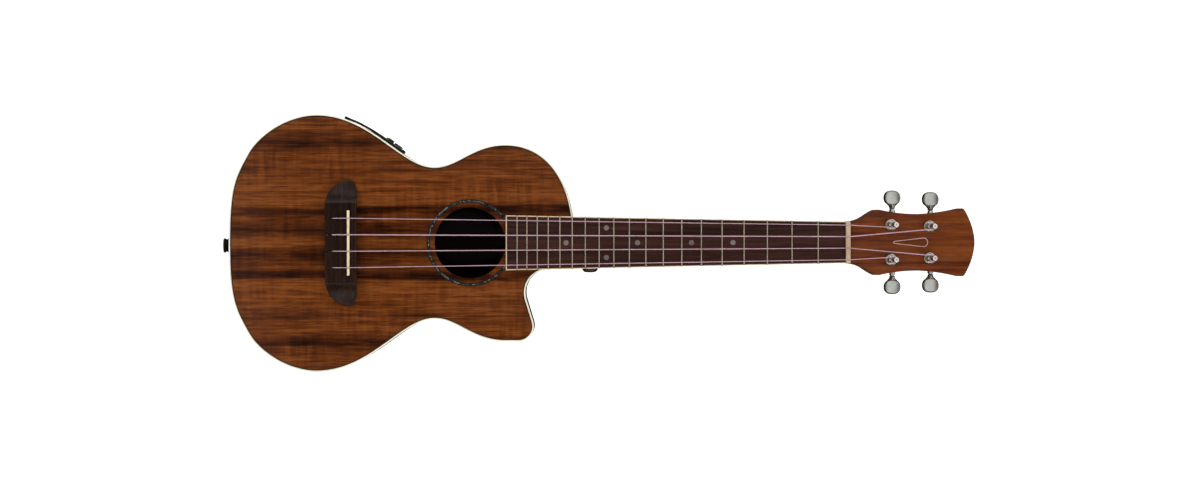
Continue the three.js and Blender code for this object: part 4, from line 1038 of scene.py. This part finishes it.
# ---- tuners ----
def make_tuners():
    for i, (place, side) in enumerate(STRING_TUNERS):
        name, at = f"tuner_{i + 1}", tuner_frame(place, side)
        chrome = dict(material=CHROME, slot="chrome")

        def placed(parts):
            return [moved(part, at) for part in parts]

        washer = lathe([(3.2, 0.1), (4.9, 0.1), (5.1, 0.3), (5.05, 0.7), (4.6, 1.0), (3.2, 1.0)], 48)
        hexagon = oval(0, 0, 4.62, 4.62, 2, 6)
        hex_nut = slab(hexagon, 0.9, 2.7, 0.3, [circle(0, 0, 3.15, 30)])
        collar = lathe([(3.15, 2.5), (3.85, 2.5), (3.85, 2.8), (3.6, 3.05), (3.15, 3.05)], 40)
        sleeve = lathe(box(3.2, 4.1, -9.4, 0.6), 32)
        bushing = placed([washer, hex_nut, collar, sleeve])
        make(f"{name}_bushing", bushing, **chrome)

        profile = [(0, -22.5), (1.8, -22.5), (1.8, -15), (2.9, -15), (2.9, 3.3), (2.8, 3.6), (2.05, 4.1),
                   (1.95, 4.6), (1.95, 9.3), (2.1, 9.9), (2.45, 10.3), (2.5, 10.7), (2.5, 14.8),
                   (2.4, 15.2), (2.15, 15.4), (0.8, 15.42), (0.5, 15.2), (0, 15.15)]
        eye = lathe(box(0, 0.75, -5, 5), 16, "x", (0, 0, 12))
        post = placed([lathe(profile, 40)])
        make(f"{name}_post", post, cuts=[placed([eye])], body=f"{name}_capstan", **chrome)

        x0, x1, y0, y1, low, high = -7.5, 11.4, -8.5, 9.0, -24.4, -14.2
        shell = rounded(box(x0, x1, y0, y1), 3, 5, True)
        cavity = slab(inset(shell, 1), low + 1, high + 5, 0.3)
        cover = slab(shell, low, high, 1.0, steps=4)
        ear = slab(circle(x0 - 1, 0, 3.4, 30), -16.2, -14.25, 0.35)
        worm = (GEAR_CENTRE, 0, WORM_DEPTH)
        journal = [(1.95, y1 - 0.8), (2.7, y1 - 0.8), (2.6, 12.6), (2.3, 13.75), (1.95, 13.75)]
        journal = lathe(journal, 32, "y", worm)
        shaft_bore = lathe(box(0, 1.95, 4, 20), 24, "y", worm)
        housing = raw(f"{name}_housing", placed([cover]))
        carve(housing, placed([cavity]))
        carve(housing, placed([shaft_bore]))
        extra = raw(f"{name}_fittings", placed([ear, journal]))
        join_into(housing, extra)
        finish_piece(housing, CHROME, slot="chrome")
        head = [(0, -16.1), (1.9, -16.1), (1.9, -16.6), (1.5, -17.1), (0.8, -17.35), (0, -17.4)]
        head = lathe(head, 28)
        slot = block(-1.3, 1.3, -0.22, 0.22, -18, -16.8, 0.02)
        head, slot = placed([shifted(part, x0 - 1.6) for part in (head, slot)])
        make(f"{name}_screw", [head], cuts=[[slot]], **chrome)

        disc = slab(oval(0, 24, 7.45, 6.55, 2.35, 72), -2.5, 2.5, 1.3, steps=6)
        rows = [(14.15, 2.2, 2.2), (14.4, 2.45, 2.4), (15.4, 2.5, 2.4), (16.2, 2.8, 2.4),
                (17.0, 3.5, 2.4), (17.8, 4.4, 2.4), (18.6, 4.9, 2.2), (19.6, 4.6, 1.8)]
        a = np.linspace(0, math.tau, 33)[:-1]
        stem = loft([[(rx * math.cos(t), y, rz * math.sin(t)) for t in a] for y, rx, rz in rows])
        button = placed([shifted(part, *worm) for part in (disc, stem)])
        make(f"{name}_button", button, BUTTON_CHROME, body=f"{name}_key", slot="chrome", angle=50)


# ---- preamp, jack and strap button ----
def ribbed(radius, ribs, depth, steps=6):
    a = np.linspace(0, math.tau, ribs * steps + 1)[:-1]
    r = radius - depth * (0.5 - 0.5 * np.cos(ribs * a))
    return np.column_stack([r * np.cos(a), r * np.sin(a)])


def make_preamp():
    face = PANEL_FACE
    panel = rim_plate(*PANEL, 14, 52, 0.3, face, 3, 0.45)
    opening = rim_plate(DOOR[0] - 0.25, DOOR[1] + 1.35, 18.7, 47.3, -1, 4, 1)
    recess = rim_plate(121, 133.6, 19.5, 46.5, face - 0.5, 4, 1)
    key_frame = rim_frame(*KEY_PLACE)
    key_well = moved(lathe(box(0, 3.1, 0.7, 4), 40), key_frame)
    black = dict(material=BLACK, slot="black_plastic")
    make("preamp_panel", [panel], cuts=[[opening, recess, key_well]], **black)
    window = rim_plate(121.15, 133.45, 19.7, 46.3, face - 0.48, face - 0.1, 0.9, 0.15)
    make("preamp_display", [window], GLASS_BLACK, slot="black_plastic")
    head = lathe([(0, -0.2), (1.25, -0.2), (1.25, 0.05), (0.9, 0.35), (0, 0.45)], 24)
    slot = block(-0.9, 0.9, -0.14, 0.14, 0.15, 2, 0.02)
    for k, (u, z) in enumerate(((102, 16.4), (102, 49.6), (150.2, 16.4), (150.2, 49.6))):
        on_face = rim_frame(u, z) @ Matrix.Translation((0, 0, face))
        make(f"panel_screw_{k + 1}", [moved(head, on_face)], BLACK_CHROME, cuts=[[moved(slot, on_face)]],
             slot="black_metal")

    plain = rim_section(*DOOR_HEIGHTS, 0.35, 2.25, 0.3)
    stations = [(u, plain) for u in np.linspace(DOOR[0] + 0.05, DOOR[1], 12)]
    for t in (0.35, 0.65, 0.85, 0.97):
        half = math.sqrt(1 - t * t) * 0.95
        stations.append((DOOR[1] + t, rim_section(*DOOR_HEIGHTS, 1.3 - half, 1.3 + half, half * 0.3)))
    notch = rim_plate(DOOR[0] + 1.4, DOOR[0] + 3.6, 27, 39, 1.5, 4, 0.8)
    starts = 108.5 + 1.8 * np.arange(4)
    ribs = [rim_plate(u, u + 0.7, 22, 44, face - 0.4, face + 0.12, 0.3, 0.15) for u in starts]
    make("battery_door", [on_rim(stations)], cuts=[[notch]], body="battery_cover", **black)
    make("door_ribs", ribs, body="battery_cover", **black)

    for name in ("volume", "treble", "bass"):
        place = next(j for j in frame["joints"] if j["name"] == f"{name}_knob_turn")["pos_m"]
        u, z = place[0] * 1000 - TAIL, place[2] * 1000
        at = rim_frame(u, z)
        outline = ribbed(3.75, 22, 0.3)
        sections = []
        for height, share in ((2.62, 0.94), (2.75, 1), (3.5, 1), (3.75, 0.95), (3.88, 0.84)):
            sections.append(np.column_stack([outline * share, np.full(len(outline), height)]))
        pointer = block(-0.28, 0.28, 1.2, 3.0, 3.8, 3.93, 0.04)
        body = f"{name}_control"
        make(f"{name}_knob", [moved(loft(sections), at)], body=body, **black)
        make(f"{name}_pointer", [moved(pointer, at)], WHITE_MARK, body=body, slot="bone")
        ticks = []
        for t in np.radians(np.linspace(-60, 240, 7)):
            spot = np.array([4.65 * math.cos(t), 4.65 * math.sin(t)])
            ticks.append(moved(slab(circle(*spot, 0.24, 10), face - 0.2, face + 0.03, 0.02, steps=1), at))
        make(f"{name}_scale", ticks, WHITE_MARK, slot="bone")
    dished = [(0, 1.6), (2.85, 1.6), (2.85, 4.0), (2.6, 4.27), (1.8, 4.2), (0, 4.0)]
    key = moved(lathe(dished, 40), key_frame)
    make("tuner_key", [key], body="tuner_switch", **black)


def make_fittings():
    jack = [(3.2, 30), (3.2, -6.9), (3.5, -7.38), (5.4, -7.38), (6.1, -7.1), (6.45, -6.5), (6.45, -5.9),
            (6.1, -5.3), (5.6, -4.8), (5.45, -4.3), (5.45, -3.1), (5.7, -2.6), (6.5, -2.0), (6.9, -1.7),
            (7, -1.4), (7, -0.45), (6.85, -0.3), (4.5, -0.3), (4.5, 34), (0, 34), (0, 30)]
    make("endpin_jack", [lathe(jack, 64, "x", (0, JACK_Y, JACK_Z))], BLACK_METAL, slot="chrome")
    button = [(0, -26.15), (2.6, -26.2), (4.6, -25.85), (5.9, -25.1), (6.75, -24), (7, -22.9),
              (6.85, -22), (6.4, -21.3), (4.6, -20.4), (3.6, -19.7), (3.35, -18.8), (3.5, -18),
              (4.5, -17.2), (4.6, -16.95), (0, -16.95)]
    at = (STRAP_X, 0, STRAP_Z)
    slots = [block(STRAP_X - 1.6, STRAP_X + 1.6, -27, -25.7, STRAP_Z - 0.28, STRAP_Z + 0.28, 0.02)]
    make("strap_button", [lathe(button, 56, "y", at)], DARK_CHROME, cuts=[slots], slot="chrome")


def dress(material, *nodes):
    for node in nodes:
        for material_slot in frame["nodes"][node].material_slots:
            material_slot.material = material


def dress_kept_nodes():
    dress(SPRUCE, "lining_top", "lining_back", "brace_top_upper", "brace_top_lower")
    # painted shade: the back brace gets the near-black wood
    dress(BRACE_PAINTED_SHADE, "back_bracing")
    dress(SPRUCE_LONG, "fan_bracing")
    dress(BLOCK_WOOD, "tail_block", "neck_block")
    dress(BRASS, "pickup_strip", *(f"tuner_{i}_gear" for i in range(1, 5)))
    dress(CHROME, *(f"tuner_{i}_worm_shaft" for i in range(1, 5)))
    dress(BLACK, "preamp_case")
    dress(BLACK_CHROME, "endpin_nut")


for build in (make_body, make_rosette, make_bridge, make_strings, make_neck, make_board, make_tuners,
              make_preamp, make_fittings, dress_kept_nodes):
    build()


# ---- stage ----
def make_stage():
    floor = raw("floor", [block(-4000, 4000, -4000, 4000, -40, -0.4, 1)])
    paint = Paint("floor_paper", Roughness=0.9)
    cloud = paint.noise((0.002, 0.002, 0.002))
    paint.finish(paint.ramp(cloud, [(0, rgb(250, 250, 249)), (1, rgb(252, 252, 252))]))
    paint.shader.inputs["Emission Color"].default_value = (1, 1, 1, 1)
    paint.shader.inputs["Emission Strength"].default_value = 0.6
    floor.data.materials.append(paint.material)
    floor.visible_glossy = False

    world = bpy.data.worlds.new("studio")
    bpy.context.scene.world = world
    world.use_nodes = True
    sky = Nodes(world.node_tree)
    towards = sky.node("TexCoord").outputs["Generated"]
    x, y, z = sky.node("SeparateXYZ", [(0, towards)]).outputs
    room = sky.ramp(sky.spread(z, -1, 1), level(
        (0.0, 0.03), (0.49, 0.05), (0.51, 0.5), (0.6, 0.8), (0.75, 0.6), (0.84, 0.2), (0.87, 0.05),
    ))
    ceiling = sky.ramp(z, level((0.76, 0.0), (0.82, 0.9), (0.9, 1.0), (0.935, 0.25), (0.965, 0.03)))
    round_the_room = sky.math("ARCTAN2", y, x)
    facing = sky.math("COSINE", sky.math("SUBTRACT", round_the_room, math.radians(40)))
    window = sky.spread(facing, 0.0, 0.6, 0.06, 1.3)
    sides = sky.math("COSINE", sky.math("MULTIPLY", round_the_room, 2.0))
    low = sky.math("MULTIPLY", sky.spread(sides, 0.2, -0.6), sky.spread(z, 0.3, 0.16))
    share = sky.math("MAXIMUM", window, sky.math("MULTIPLY", low, 1.6))
    walls = sky.vector_math("SCALE", room, Scale=share)
    lit = sky.node("VectorMath", [(0, walls), (1, ceiling)], operation="ADD").outputs[0]
    sky.tree.links.new(lit, sky.tree.nodes["Background"].inputs["Color"])


def make_lamp(name, place, size, power):
    light = bpy.data.lights.new(name, "AREA")
    light.shape = "RECTANGLE"
    light.size, light.size_y = size
    light.energy = power
    lamp = bpy.data.objects.new(name, light)
    lamp.location = place
    lamp.visible_glossy = False
    lamp.rotation_euler = (-Vector(place)).to_track_quat("-Z", "Y").to_euler()
    bpy.context.scene.collection.objects.link(lamp)


def make_camera():
    camera = bpy.data.cameras.new("camera")
    camera.sensor_width = 36
    camera.lens = 119.8
    view = bpy.data.objects.new("camera", camera)
    view.location = ((325.6 + TAIL) / 1000, -0.0007, 3.5 + DEPTH / 1000)
    view.rotation_euler.z = -0.0012
    bpy.context.scene.collection.objects.link(view)
    bpy.context.scene.camera = view


make_stage()
make_lamp("key", (-1.9, 1.7, 1.45), (1.4, 1.4), 66)
make_lamp("fill", (2.0, -1.6, 1.4), (1.6, 1.6), 42)
make_lamp("rim", (0.2, -2.3, 1.3), (1.6, 0.8), 20)
make_camera()
bpy.context.scene.view_settings.view_transform = "Standard"
